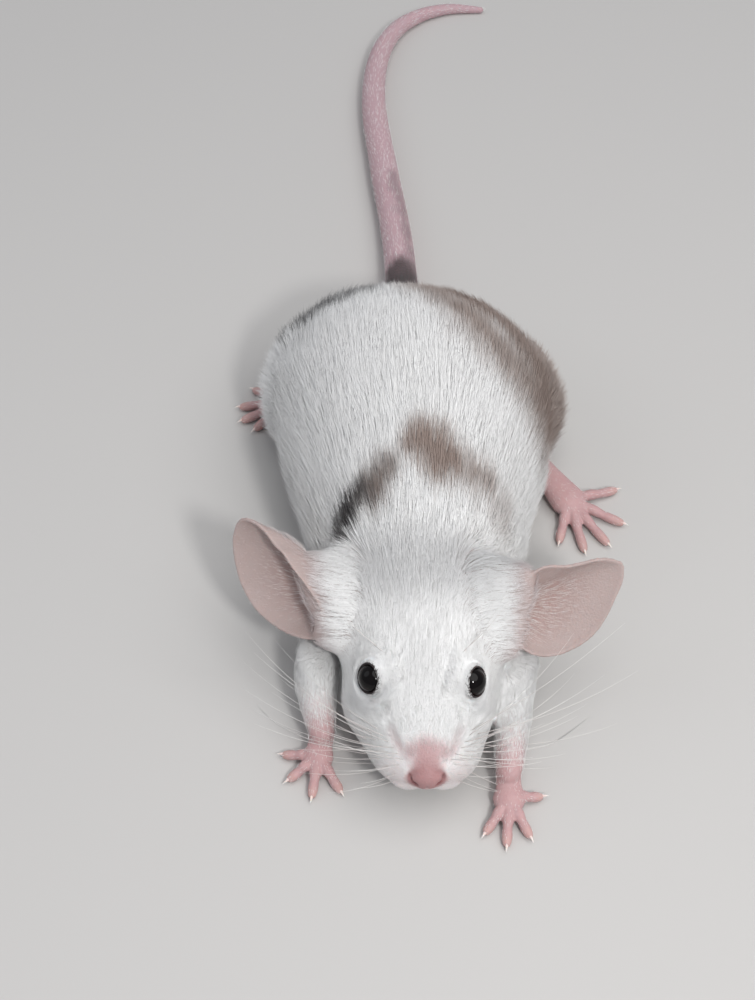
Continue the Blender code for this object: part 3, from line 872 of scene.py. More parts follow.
@dataclass(frozen=True)
class Markings:
    """Where the coat and skin are dark, brown, grey or pink."""

    charcoal: tuple = (
        Patch(((-10.3, -10.9, 16.6), (-8.6, -10.3, 18.9), (-7.0, -9.4, 20.4)), 1.65, 1.0, 1.0),
        Patch(((-7.0, -9.8, 20.3), (-5.2, -8.7, 21.5), (-4.2, -7.4, 22.3)), 1.7, 1.6, 0.40),
        Patch(((-1.4, 39.5, 4.6), (-1.4, 44.6, 4.4)), 2.3, 1.6, 0.95),
        Patch(((-15.8, 24.6, 12.4), (-13.0, 25.4, 16.4), (-10.0, 25.4, 18.8), (-6.5, 27.0, 18.9)),
              1.8, 1.6, 0.9),
        Patch(((-15.0, 27.0, 9.5), (-12.0, 29.0, 13.0), (-8.0, 30.0, 15.0)), 3.0, 2.4, 0.9),
    )
    brown: tuple = (
        Patch(((-7.0, -9.8, 20.3), (-5.2, -8.7, 21.5), (-4.2, -7.4, 22.3)), 1.7, 1.6, 0.9),
        Patch(((0.9, -3.9, 23.5), (3.2, -6.0, 22.8)), 2.7, 1.7, 0.95),
        Patch(((3.2, -4.8, 23.2), (5.6, -6.2, 22.0), (7.4, -7.4, 20.8)), 1.7, 2.2, 0.85),
        Patch(((7.0, -7.2, 21.0), (8.8, -8.4, 19.6), (10.6, -9.6, 17.6)), 1.0, 2.4, 0.60),
        Patch(((1.0, 29.0, 17.0), (4.6, 21.5, 22.0), (8.4, 15.2, 22.8), (11.8, 11.2, 20.9),
               (14.6, 8.6, 17.8), (16.4, 5.0, 13.6)), 2.2, 4.2, 0.90),
        Patch(((4.0, 28.0, 16.5), (10.0, 21.5, 18.6), (14.6, 15.5, 16.8), (17.4, 8.0, 12.5)),
              3.6, 3.4, 0.92),
        Patch(((8.0, 29.0, 12.5), (14.0, 22.0, 12.5), (17.8, 14.0, 10.5), (18.8, 8.0, 8.5)),
              3.2, 3.0, 0.85),
        Patch(((0.3, 46.0, 4.2), (-0.6, 56.0, 4.0), (-2.4, 66.0, 3.8)), 0.7, 1.2, 0.55),
    )
    grey: tuple = (
        Patch(((-4.0, -17.5, 19.8), (4.5, -17.5, 19.8)), 3.2, 4.0, 0.38),
        Patch(((8.0, -17.0, 17.5), (11.0, -18.0, 14.5)), 2.0, 2.5, 0.30),
        # Below and beside each eye: greyer hair near the lids, and painted shade.
        Patch(((-5.4, -29.6, 12.0), (-5.9, -30.2, 11.2)), 1.7, 1.3, 0.38),
        Patch(((5.8, -29.9, 11.9), (6.2, -30.4, 11.2)), 1.7, 1.3, 0.38),
    )
    pink: tuple = (
        Patch(((0.6, -38.9, 8.2), (0.6, -37.6, 9.1), (0.6, -37.0, 9.5)), 1.7, 1.1, 1.0),
        Patch(((-0.9, -37.0, 9.9), (0.6, -36.9, 10.3), (2.1, -37.0, 9.9)), 0.9, 1.2, 0.9),
        *(Patch(route, 0.25, 0.8, 0.8) for route in BRIDGE_EDGES),
        Patch(((-2.2, -37.6, 6.6), (0.6, -38.6, 6.6), (3.4, -37.6, 6.6)), 1.6, 2.6, 0.45),
        Patch(((0.6, -38.8, 6.2), (0.6, -38.2, 5.2)), 0.7, 0.7, 0.95),
    )
    ragged: float = 0.9
    blots: tuple = ((0.7, 1.6, 3), (0.5, 0.6, 4))

    def strength(self, patches: tuple, points: Array, ragged: float = 1.0) -> Array:
        """Finds how strongly a set of patches colours each point.

        Args:
            patches: The patches.
            points: The points.
            ragged: How much the patches' edges wander, as a share of the usual.

        Returns:
            One strength for each point, from 0 to 1.
        """
        noise = sum(share * lattice_noise(points, size, seed) for share, size, seed in self.blots)
        wander = ragged * self.ragged * noise
        found = np.zeros(len(points))
        for patch in patches:
            gap = distance_to_route(points, patch.route) + wander
            inner, outer = patch.reach - patch.softness * 0.5, patch.reach + patch.softness
            found = np.maximum(found, patch.strength * smoothstep(outer, inner, gap))
        return found

    def read(self, points: Array) -> dict:
        """Reads all the colour masks at some points.

        Args:
            points: The points.

        Returns:
            The strength of each colour at each point.
        """
        names = ("charcoal", "brown", "grey")
        found = {name: self.strength(getattr(self, name), points) for name in names}
        return found | {"pink": self.strength(self.pink, points, 0.25)}


# --- finishes


class Nodes:
    """A short way to wire a material."""

    def __init__(self, name: str) -> None:
        """Starts an empty material with its output.

        Args:
            name: The material's name.
        """
        self.material = bpy.data.materials.new(name)
        self.material.use_nodes = True
        self.tree = self.material.node_tree
        self.tree.nodes.clear()
        output = self.tree.nodes.new("ShaderNodeOutputMaterial")
        self.shader = self.tree.nodes.new("ShaderNodeBsdfPrincipled")
        self.link(self.shader.outputs[0], output.inputs["Surface"])

    def link(self, source: NodeSocket, target: NodeSocket) -> None:
        """Joins two sockets."""
        self.tree.links.new(source, target)

    def value(self, socket: str, amount: object) -> None:
        """Sets a constant on the shader."""
        self.shader.inputs[socket].default_value = amount

    def colour(self, source: NodeSocket) -> None:
        """Colours the surface."""
        self.link(source, self.shader.inputs["Base Color"])

    def scatter(self, share: float, radius: tuple, scale: float) -> None:
        """Lets some light under the surface.

        Args:
            share: How much of it.
            radius: How far each colour goes, next to the others.
            scale: How far they go, in metres.
        """
        self.value("Subsurface Weight", share)
        self.value("Subsurface Radius", radius)
        self.value("Subsurface Scale", scale)

    def feed(self, socket: NodeSocket, given: object) -> None:
        """Gives a socket another socket, a colour or a number.

        Args:
            socket: The socket.
            given: What it gets.
        """
        if isinstance(given, NodeSocket):
            self.link(given, socket)
        else:
            socket.default_value = (*given, 1.0) if isinstance(given, tuple) else given

    def add(self, kind: str, given: dict, **settings: str) -> Node:
        """Adds a node.

        Args:
            kind: Its kind, without the leading ShaderNode.
            given: What each of its inputs gets.
            settings: Its own settings.

        Returns:
            The node.
        """
        node = self.tree.nodes.new("ShaderNode" + kind)
        for name, setting in settings.items():
            setattr(node, name, setting)
        for name, value in given.items():
            self.feed(node.inputs[name], value)
        return node

    def attribute(self, name: str) -> NodeSocket:
        """Reads one of the piece's own attributes."""
        return self.add("Attribute", {}, attribute_name=name).outputs["Fac"]

    def math(self, operation: str, a: object, b: object) -> NodeSocket:
        """Does a sum on two values."""
        return self.add("Math", {0: a, 1: b}, operation=operation).outputs[0]

    def mix(self, share: object, a: object, b: object, kind: str = "MIX") -> NodeSocket:
        """Mixes two colours by a share."""
        node = self.add("Mix", {0: share, 6: a, 7: b}, data_type="RGBA", blend_type=kind)
        return node.outputs[2]

    def place(self) -> NodeSocket:
        """Reads the piece's own coordinates, in metres."""
        return self.add("TexCoord", {}).outputs["Object"]

    def noise(self, scale: float, detail: float = 3.0) -> NodeSocket:
        """Makes noise, with the scale in blots for each metre."""
        given = {"Vector": self.place(), "Scale": scale, "Detail": detail, "Roughness": 0.55}
        return self.add("TexNoise", given).outputs["Fac"]

    def cells(self, scale: float) -> NodeSocket:
        """Makes small cells, with the scale in cells for each metre."""
        return self.add("TexVoronoi", {"Vector": self.place(), "Scale": scale}).outputs["Distance"]

    def bump(self, height: NodeSocket, distance: float, strength: float) -> None:
        """Raises the surface by a height."""
        node = self.add("Bump", {"Height": height, "Distance": distance, "Strength": strength})
        self.link(node.outputs[0], self.shader.inputs["Normal"])


@dataclass(frozen=True)
class CoatColours:
    """The colours that the coat and the skin under it share."""

    white: tuple = (0.93, 0.93, 0.925)
    charcoal: tuple = (0.075, 0.070, 0.070)
    brown: tuple = (0.320, 0.240, 0.205)
    grey: tuple = (0.42, 0.42, 0.43)
    pink: tuple = (0.510, 0.345, 0.347)

    def mixed(self, nodes: Nodes) -> NodeSocket:
        """Mixes the colours by the piece's own masks.

        Args:
            nodes: The material.

        Returns:
            The mixed colour.
        """
        colour = self.white
        for name in ("pink", "grey", "brown", "charcoal"):
            colour = nodes.mix(nodes.attribute(name), colour, getattr(self, name))
        return colour


@dataclass(frozen=True)
class FurFinish:
    """Fine soft fur."""

    colours: CoatColours = CoatColours()
    # Each tuft is darker at its root than at its tip: painted shade deep in the coat.
    root_painted_shade: tuple = (0.96, 0.955, 0.95)
    dull_shade: tuple = (0.86, 0.855, 0.85)
    roughness: float = 0.62
    shine: float = 0.22

    def make(self) -> Material:
        """Makes the material of the tufts.

        Returns:
            The material.
        """
        nodes = Nodes("mouse_fur")
        colour = self.colours.mixed(nodes)
        # Painted shade: the root is darkened and the tuft lightens to its own colour along its
        # length.
        shaded = nodes.mix(1.0, colour, self.root_painted_shade, "MULTIPLY")
        colour = nodes.mix(nodes.attribute("along"), shaded, colour)
        # The darker tone goes to tufts at random, and along painted shade streaks between the locks.
        dull = nodes.mix(1.0, colour, self.dull_shade, "MULTIPLY")
        nodes.colour(nodes.mix(nodes.attribute("tone"), dull, colour))
        nodes.value("Roughness", self.roughness)
        nodes.value("Specular IOR Level", self.shine)
        return nodes.material


@dataclass(frozen=True)
class SkinFinish:
    """Living skin: pinkish white under the coat, pink where it is bare."""

    colours: CoatColours = CoatColours()
    bare: tuple = (0.515, 0.300, 0.305)
    bare_mottle: tuple = (0.565, 0.380, 0.378)
    toe_tip: tuple = (0.570, 0.365, 0.345)
    ear: tuple = (0.450, 0.355, 0.335)
    # Deep in the cup the ear is redder, and darker by painted shade.
    ear_deep_red_and_shade: tuple = (0.395, 0.265, 0.240)
    ear_mottle: tuple = (0.510, 0.410, 0.390)
    tail: tuple = (0.515, 0.342, 0.372)
    tail_mottle: tuple = (0.540, 0.380, 0.410)
    tail_charcoal: tuple = (0.085, 0.062, 0.064)
    tail_brown: tuple = (0.20, 0.155, 0.165)
    nose: tuple = (0.435, 0.243, 0.243)
    # Painted shadow at the lids' edge, where the skin sinks behind the ball.
    lid: tuple = (0.035, 0.026, 0.026)
    # Painted shade in the nostrils and along their grooves.
    nostril: tuple = (0.16, 0.03, 0.03)
    mottle_scale: float = 900.0
    fine_scale: float = 5200.0
    pore_scale: float = 3800.0
    roughness: float = 0.52
    shine: float = 0.35
    scatter: tuple = (0.25, (1.0, 0.55, 0.45), 0.0005)
    ring_relief: float = 0.35
    pore_relief: float = 0.7
    bump_height: float = 0.00008
    bump_strength: float = 0.55

    def make(self) -> Material:
        """Makes the material of the skin.

        Returns:
            The material.
        """
        nodes = Nodes("mouse_skin")
        coat = self.colours.mixed(nodes)
        mottle = nodes.noise(self.mottle_scale)
        fine = nodes.noise(self.fine_scale, 2.0)
        bare = nodes.mix(mottle, self.bare, self.bare_mottle)
        bare = nodes.mix(nodes.attribute("tip"), bare, self.toe_tip)
        colour = nodes.mix(nodes.attribute("foot"), coat, bare)
        ear = nodes.mix(nodes.attribute("ear_deep_red_and_shade"), self.ear, self.ear_deep_red_and_shade)
        ear = nodes.mix(nodes.math("MULTIPLY", mottle, 0.5), ear, self.ear_mottle)
        colour = nodes.mix(nodes.attribute("ear"), colour, ear)
        tail = nodes.mix(mottle, self.tail, self.tail_mottle)
        tail = nodes.mix(nodes.attribute("charcoal"), tail, self.tail_charcoal)
        tail = nodes.mix(nodes.attribute("brown"), tail, self.tail_brown)
        colour = nodes.mix(nodes.attribute("tail"), colour, tail)
        colour = nodes.mix(nodes.attribute("nose"), colour, self.nose)
        # Painted shade darkens the nostrils and their grooves.
        colour = nodes.mix(nodes.attribute("crease_shade"), colour, self.nostril)
        # Painted shadow at the lids' edges.
        nodes.colour(nodes.mix(nodes.attribute("lid"), colour, self.lid))
        nodes.value("Roughness", self.roughness)
        nodes.scatter(*self.scatter)
        nodes.value("Specular IOR Level", self.shine)
        turns = nodes.math("MULTIPLY", nodes.attribute("ring_way"), 2 * math.pi)
        rings = nodes.math("MULTIPLY", nodes.math("SINE", turns, 0.0), nodes.attribute("tail"))
        relief = nodes.math("ADD", nodes.math("MULTIPLY", rings, self.ring_relief), fine)
        pores = nodes.math("MULTIPLY", nodes.cells(self.pore_scale), self.pore_relief)
        nodes.bump(nodes.math("ADD", relief, pores), self.bump_height, self.bump_strength)
        return nodes.material


@dataclass(frozen=True)
class GlossFinish:
    """A wet black eye."""

    colour: tuple = (0.0015, 0.0012, 0.0014)
    deep: tuple = (0.005, 0.003, 0.003)
    cloud_scale: float = 1400.0
    roughness: float = 0.04
    shine: float = 0.22

    def make(self) -> Material:
        """Makes the material of the eyes.

        Returns:
            The material.
        """
        nodes = Nodes("mouse_eye")
        nodes.colour(nodes.mix(nodes.noise(self.cloud_scale), self.colour, self.deep))
        nodes.value("Roughness", self.roughness)
        nodes.value("Specular IOR Level", self.shine)
        return nodes.material


@dataclass(frozen=True)
class LidFinish:
    """The dark bare edge of the lids."""

    colour: tuple = (0.030, 0.022, 0.022)
    mottle: tuple = (0.07, 0.05, 0.05)
    mottle_scale: float = 4000.0
    roughness: float = 0.35

    def make(self) -> Material:
        """Makes the material of the lid edges.

        Returns:
            The material.
        """
        nodes = Nodes("mouse_lid")
        nodes.colour(nodes.mix(nodes.noise(self.mottle_scale), self.colour, self.mottle))
        nodes.value("Roughness", self.roughness)
        return nodes.material


@dataclass(frozen=True)
class HornFinish:
    """Pale translucent claw."""

    root: tuple = (0.82, 0.58, 0.55)
    tip: tuple = (0.88, 0.84, 0.78)
    roughness: float = 0.3
    scatter: tuple = (0.3, (1.0, 0.7, 0.5), 0.0003)

    def make(self) -> Material:
        """Makes the material of the claws.

        Returns:
            The material.
        """
        nodes = Nodes("mouse_claw")
        nodes.colour(nodes.mix(nodes.attribute("along"), self.root, self.tip))
        nodes.value("Roughness", self.roughness)
        nodes.scatter(*self.scatter)
        return nodes.material


@dataclass(frozen=True)
class WhiskerFinish:
    """A stiff white whisker that darkens a little at its root."""

    root: tuple = (0.55, 0.50, 0.48)
    tip: tuple = (0.92, 0.91, 0.88)
    roughness: float = 0.35

    def make(self) -> Material:
        """Makes the material of the whiskers.

        Returns:
            The material.
        """
        nodes = Nodes("mouse_whisker")
        nodes.colour(nodes.mix(nodes.attribute("along"), self.root, self.tip))
        nodes.value("Roughness", self.roughness)
        return nodes.material


# --- meshes


@dataclass
class Surface:
    """A mesh's arrays, in millimetres."""

    points: Array
    normals: Array
    triangles: Array
    edges: Array

    @staticmethod
    def of(obj: Object) -> "Surface":
        """Reads an object's mesh.

        Args:
            obj: The object.

        Returns:
            Its arrays.
        """
        mesh = obj.data
        points = np.empty(len(mesh.vertices) * 3, np.float32)
        mesh.vertices.foreach_get("co", points)
        normals = np.empty(len(mesh.vertices) * 3, np.float32)
        mesh.vertex_normals.foreach_get("vector", normals)
        mesh.calc_loop_triangles()
        triangles = np.empty(len(mesh.loop_triangles) * 3, np.int32)
        mesh.loop_triangles.foreach_get("vertices", triangles)
        edges = np.empty(len(mesh.edges) * 2, np.int32)
        mesh.edges.foreach_get("vertices", edges)
        points, normals = points.reshape(-1, 3).astype(float), normals.reshape(-1, 3).astype(float)
        return Surface(points / MM, normals, triangles.reshape(-1, 3), edges.reshape(-1, 2))

    def averaged(self, values: Array, rounds: int, share: Array | float = 1.0) -> Array:
        """Averages values with their neighbours.

        Args:
            values: Values of shape (points,) or (points, axes).
            rounds: How many times.
            share: How far each point moves to the average, from 0 to 1.

        Returns:
            The smoothed values.
        """
        flat = values[:, None] if values.ndim == 1 else values
        a, b = self.edges[:, 0], self.edges[:, 1]
        count = np.bincount(np.concatenate([a, b]), minlength=len(flat)).astype(float)[:, None]
        share = np.asarray(share, float)
        share = share[:, None] if share.ndim == 1 else share
        for _ in range(rounds):
            total = np.stack([
                np.bincount(a, flat[b, k], len(flat)) + np.bincount(b, flat[a, k], len(flat))
                for k in range(flat.shape[1])
            ], 1)
            flat = flat + (total / np.maximum(count, 1) - flat) * share
        return flat[:, 0] if values.ndim == 1 else flat


def added(name: str, data: ID) -> Object:
    """Puts a new object into the scene.

    Args:
        name: The object's name.
        data: Its mesh, lamp or camera.

    Returns:
        The object.
    """
    obj = bpy.data.objects.new(name, data)
    bpy.context.scene.collection.objects.link(obj)
    return obj


def mesh_object(name: str, points: Array, faces: list) -> Object:
    """Makes an object from arrays.

    Args:
        name: The object's name.
        points: Points in millimetres.
        faces: Arrays of faces, each with rows of one length.

    Returns:
        The linked object.
    """
    mesh = bpy.data.meshes.new(name)
    sizes = np.concatenate([np.full(len(f), f.shape[1]) for f in faces])
    corners = np.concatenate([f.reshape(-1) for f in faces]).astype(np.int32)
    mesh.vertices.add(len(points))
    mesh.vertices.foreach_set("co", (points * MM).astype(np.float32).reshape(-1))
    mesh.loops.add(len(corners))
    mesh.loops.foreach_set("vertex_index", corners)
    mesh.polygons.add(len(sizes))
    starts = np.concatenate([[0], np.cumsum(sizes)[:-1]]).astype(np.int32)
    mesh.polygons.foreach_set("loop_start", starts)
    mesh.update(calc_edges=True)
    mesh.validate()
    return added(name, mesh)


def select_none() -> None:
    """Deselects everything."""
    for other in bpy.context.selected_objects:
        other.select_set(False)


def select_only(obj: Object) -> None:
    """Makes one object the only selected one.

    Args:
        obj: The object.
    """
    select_none()
    obj.select_set(True)
    bpy.context.view_layer.objects.active = obj


def edit(action: str) -> None:
    """Opens the active object's mesh for editing, with all of it selected or none."""
    bpy.ops.object.mode_set(mode="EDIT")
    bpy.ops.mesh.select_all(action=action)


def edited() -> None:
    """Closes the mesh again."""
    bpy.ops.object.mode_set(mode="OBJECT")


def fix_place() -> None:
    """Moves the active object's points instead of the object."""
    bpy.ops.object.transform_apply(location=True, rotation=True, scale=True)


def thinned(obj: Object, share: float) -> None:
    """Leaves an object a share of its triangles.

    Args:
        obj: The object.
        share: The share, from 0 to 1.
    """
    select_only(obj)
    obj.modifiers.new("thin", "DECIMATE").ratio = share
    bpy.ops.object.modifier_apply(modifier="thin")


def set_attribute(obj: Object, name: str, values: Array) -> None:
    """Stores a value at each point of an object's mesh."""
    made = obj.data.attributes.new(name, "FLOAT", "POINT")
    made.data.foreach_set("value", values.astype(np.float32))


def dress(obj: Object, material: Material, nodes: tuple = (),
          smooth: bool = True) -> None:
    """Finishes a piece: its material, its place on the frame and what it stands for.

    Args:
        obj: The piece.
        material: Its finish.
        nodes: The frame's nodes that it replaces.
        smooth: Whether its faces are shaded as one smooth surface.
    """
    obj.data.materials.clear()
    obj.data.materials.append(material)
    if smooth:
        obj.data.shade_smooth()
    else:
        obj.data.shade_flat()
    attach(obj, BODY)
    if nodes:
        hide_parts(*nodes)
    LOG.info("%s: %d faces", obj.name, len(obj.data.polygons))


# --- skin


class Labels:
    """Finds which form each point of the skin came from."""

    def __init__(self, forms: list) -> None:
        """Gathers the forms' points and facts.

        Args:
            forms: The forms.
        """
        self.flow = np.concatenate([form.flow for form in forms])
        self.way = np.concatenate([form.way for form in forms])
        sizes = [len(form.points) for form in forms]
        self.region = np.repeat([form.region.value for form in forms], sizes)
        self.mound = np.repeat([form.name == EAR_MOUND for form in forms], sizes)
        self.tree = search_tree(np.concatenate([form.points for form in forms]))

    def nearest(self, points: Array) -> dict:
        """Reads the nearest form's facts at each point.

        Args:
            points: The points.

        Returns:
            Arrays of facts, by their names.
        """
        index = nearest(self.tree, points)
        region = self.region[index]
        facts = {r.name.lower(): (region == r.value).astype(float) for r in Region}
        facts["flow"] = self.flow[index]
        facts["way"] = self.way[index]
        facts["mound"] = self.mound[index].astype(float)
        return facts


@dataclass
class Skin:
    """The one skin of the whole mouse."""

    core_voxel: float = 0.50
    voxel: float = 0.155
    quick_voxel: float = 0.30
    most_triangles: int = 186_000
    core_rounds: int = 26
    core_share: float = 0.12
    core_extra: float = 0.5
    skin_rounds: int = 3
    skin_share: float = 0.35
    skin_extra: float = 0.25
    seat_rounds: int = 26
    quick_seat_rounds: int = 8
    seat_share: float = 0.65
    seat_reach: float = 2.3
    surface: Surface | None = None
    source: Labels | None = None

    def forms(self) -> tuple:
        """Makes every form of the flesh.

        Returns:
            The forms that melt together coarsely, and the fine forms.
        """
        coarse = [
            BodyForm().make(),
            Haunch("haunch_right", (-10.7, 16.5, 8.6), (9.0, 13.0, 9.6), 2.0).make(),
            Haunch("haunch_left", (9.9, 14.0, 8.4), (9.2, 12.6, 9.4), -6.0).make(),
            *(limb.make() for limb in LIMBS),
        ]
        for ear in EARS:
            for route in ear.mounds:
                mound = tube_form(EAR_MOUND, Region.EAR, route, 10, 40)
                mound.way = 0.60 * smoothstep(0.15, 1.0, mound.way)
                coarse.append(mound)
        fine = [form for foot in FEET for form in foot.make()]
        fine += [ear.make() for ear in EARS]
        fine += [Tail().make(), *Face().forms()]
        return coarse, fine

    @staticmethod
    def join(forms: list) -> tuple:
        """Puts forms into one set of points and faces.

        Args:
            forms: The forms.

        Returns:
            Their points, and their faces as a list of arrays.
        """
        points, faces, start = [], [], 0
        for form in forms:
            points.append(form.points)
            faces += [f + start for f in form.faces]
            start += len(form.points)
        return np.concatenate(points), faces

    @staticmethod
    def melt(obj: Object, voxel: float) -> None:
        """Melts an object's overlapping forms into one surface.

        Args:
            obj: The object.
            voxel: The size of the smallest form that is kept, in millimetres.
        """
        select_only(obj)
        remesh = obj.modifiers.new("melt", "REMESH")
        remesh.mode = "VOXEL"
        remesh.voxel_size = voxel * MM
        bpy.ops.object.modifier_apply(modifier="melt")

    @staticmethod
    def put(obj: Object, points: Array) -> None:
        """Moves an object's points."""
        obj.data.vertices.foreach_set("co", (points * MM).astype(np.float32).reshape(-1))
        obj.data.update()

    def make(self) -> Object:
        """Builds, melts, sculpts and thins the skin.

        Returns:
            The skin's object.
        """
        coarse, fine = self.forms()
        self.source = Labels(coarse + fine)
        core = mesh_object("core", *self.join(coarse))
        self.melt(core, self.core_voxel)
        shape = Surface.of(core)
        y = shape.points[:, 1]
        steady = smoothstep(-34.0, -24.0, y) * smoothstep(40.0, 34.0, y)
        share = self.core_share + self.core_extra * steady
        core_points = shape.averaged(shape.points, self.core_rounds, share)
        bpy.data.objects.remove(core)
        points, faces = self.join(fine)
        joined = np.concatenate([core_points, points])
        faces = [shape.triangles] + [f + len(core_points) for f in faces]
        skin = mesh_object("skin", joined, faces)
        self.melt(skin, self.voxel)
        shape = Surface.of(skin)
        furry = self.source.nearest(shape.points)["body"]
        share = self.skin_share + self.skin_extra * furry
        moved = shape.averaged(shape.points, self.skin_rounds, share)
        seats = np.zeros(len(moved))
        for ear in EARS:
            seats += np.exp(-((distance_to_route(moved, ear.seat) / self.seat_reach) ** 2))
        rounds = self.seat_rounds
        moved = shape.averaged(moved, rounds, self.seat_share * np.clip(seats, 0, 1))
        moved[:, 2] = np.maximum(moved[:, 2], 0.0)
        self.put(skin, moved)
        shape = Surface.of(skin)
        face = Face()
        self.put(skin, face.press_grooves(shape.points, shape.normals))
        shape = Surface.of(skin)
        self.put(skin, face.open_lids(shape.points))
        triangles = len(shape.triangles)
        if triangles > self.most_triangles:
            thinned(skin, self.most_triangles / triangles)
        self.surface = Surface.of(skin)
        return skin


@dataclass
class SkinFacts:
    """What the coat and the colours need to know at each point of the skin."""

    body: Array
    leg: Array
    foot: Array
    ear: Array
    tail: Array
    nose: Array
    outer: Array
    way: Array
    flow: Array
    marks: dict

    @staticmethod
    def read(skin: Skin, markings: Markings) -> "SkinFacts":
        """Reads the facts for a finished skin.

        Args:
            skin: The skin.
            markings: Where the colours are.

        Returns:
            The facts.
        """
        surface = skin.surface
        p, normals = surface.points, surface.normals
        facts = skin.source.nearest(p)
        soft = {
            name: surface.averaged(facts[name], 6)
            for name in ("body", "leg", "foot", "ear", "tail")
        }
        furry = np.clip(soft["body"] + soft["leg"], 0, 1)
        flow = unit(flattened(facts["flow"], normals))
        flow = surface.averaged(flow, 14, 0.15 + 0.85 * furry)
        flow = unit(flattened(flow, normals))
        face = Face()
        gap = (p - face.nose_centre) / (np.array(face.nose_radii) + 0.25)
        nose = smoothstep(1.25, 0.95, np.linalg.norm(gap, axis=1))
        gap = distance_to_route(p, [point for point, _ in face.bridge])
        bridge = smoothstep(2.1, 1.5, gap) * smoothstep(-36.2, -38.4, p[:, 1])
        nose = np.maximum(nose, bridge * (p[:, 2] > 7.0))
        outer = np.zeros(len(nose))
        for ear in EARS:
            side = (p[:, 0] > 0) == (ear.centre[0] > 0)
            outer[side] = smoothstep(0.15, -0.15, normals[side] @ unit(ear.facing))
            outer[side] = np.maximum(outer[side], facts["mound"][side])
        way = surface.averaged(facts["way"], 2)
        return SkinFacts(**soft, nose=nose, outer=outer, way=way, flow=flow, marks=markings.read(p))

    def paint(self, obj: Object, surface: Surface) -> None:
        """Stores the colour masks on the skin.

        Args:
            obj: The skin's object.
            surface: Its arrays.
        """
        for name, values in self.marks.items():
            set_attribute(obj, name, values)
        face = Face()
        wrist = smoothstep(0.58, 1.02, self.way + 2 * self.foot)
        set_attribute(obj, "foot", np.clip(self.foot + self.leg * wrist, 0, 1))
        for name in ("ear", "tail", "nose"):
            set_attribute(obj, name, getattr(self, name))
        set_attribute(obj, "tip", self.foot * smoothstep(0.86, 1.0, self.way))
        # The inner face of each ear is redder and carries painted shade deep in the cup, towards the
        # head.
        deep = smoothstep(0.75, 0.25, self.way)
        set_attribute(obj, "ear_deep_red_and_shade", deep * self.ear * (1 - self.outer))
        p = surface.points
        crease_shade, lid_shade = np.zeros(len(p)), np.zeros(len(p))
        # Painted shade in the nostrils and along their grooves.
        near = p[:, 1] < -37.5
        for nostril in face.nostrils:
            gap = np.linalg.norm(p[near] - nostril - [0, 0.3, 0], axis=1)
            crease_shade[near] += np.exp(-((gap / face.nostril_shadow) ** 2))
        for route in NOSTRIL_LINES:
            gap = distance_to_route(p[near], route)
            crease_shade[near] += 0.55 * np.exp(-((gap / face.groove_shadow) ** 2))
        # Painted shadow at each lid's edge, where the skin sinks behind the ball.
        for eye in EYES:
            lid_shade = np.maximum(lid_shade, smoothstep(*face.lid_shadow, eye.rim_gap(p)))
        set_attribute(obj, "lid", lid_shade)
        set_attribute(obj, "crease_shade", np.clip(crease_shade, 0, 1))
        set_attribute(obj, "ring_way", self.way * TAIL_RINGS)


# --- coat


class Unwrap:
    """Lays the skin out flat, so that every tuft has its own small place on a map."""

    faces = 6000
    turn_limit = math.radians(66)
    margin = 0.002

    def __init__(self, skin: Object) -> None:
        """Unwraps a light copy of the skin.

        Args:
            skin: The skin.
        """
        light = added("unwrapped_skin", skin.data.copy())
        thinned(light, self.faces / max(len(light.data.polygons), 1))
        edit("SELECT")
        bpy.ops.uv.smart_project(angle_limit=self.turn_limit, island_margin=self.margin)
        edited()
        mesh = light.data
        mesh.calc_loop_triangles()
        corners = np.array([t.vertices[:] for t in mesh.loop_triangles])
        loops = np.array([t.loops[:] for t in mesh.loop_triangles])
        points = np.array([v.co[:] for v in mesh.vertices]) / MM
        uv = np.empty(len(mesh.loops) * 2, np.float32)
        mesh.uv_layers.active.data.foreach_get("uv", uv)
        self.corners = points[corners]
        self.uv = uv.reshape(-1, 2)[loops]
        self.tree = BVHTree.FromPolygons(points.tolist(), corners.tolist())
        bpy.data.objects.remove(light)

    def place(self, points: Array) -> Array:
        """Finds each point's place on the map.

        Args:
            points: Points on the skin.

        Returns:
            A pair of coordinates for each.
        """
        find = self.tree.find_nearest
        found = [find(p) for p in points.tolist()]
        index = np.array([f[2] for f in found])
        spot = np.array([f[0][:] for f in found])
        a, b, c = (self.corners[index, k] for k in range(3))
        v0, v1, v2 = b - a, c - a, spot - a
        d00, d01, d11 = (v0 * v0).sum(1), (v0 * v1).sum(1), (v1 * v1).sum(1)
        d20, d21 = (v2 * v0).sum(1), (v2 * v1).sum(1)
        area = np.maximum(d00 * d11 - d01 * d01, 1e-12)
        v = np.clip((d11 * d20 - d01 * d21) / area, 0, 1)
        w = np.clip((d00 * d21 - d01 * d20) / area, 0, 1)
        share = np.stack([np.clip(1 - v - w, 0, 1), v, w], 1)
        return (self.uv[index] * share[..., None]).sum(1)


@dataclass(frozen=True)
class Hair:
    """The hair of one region: its size, what the size gains where a share is 1, and its lift."""

    length: float
    length_gain: float
    width: float
    width_gain: float
    lift: float


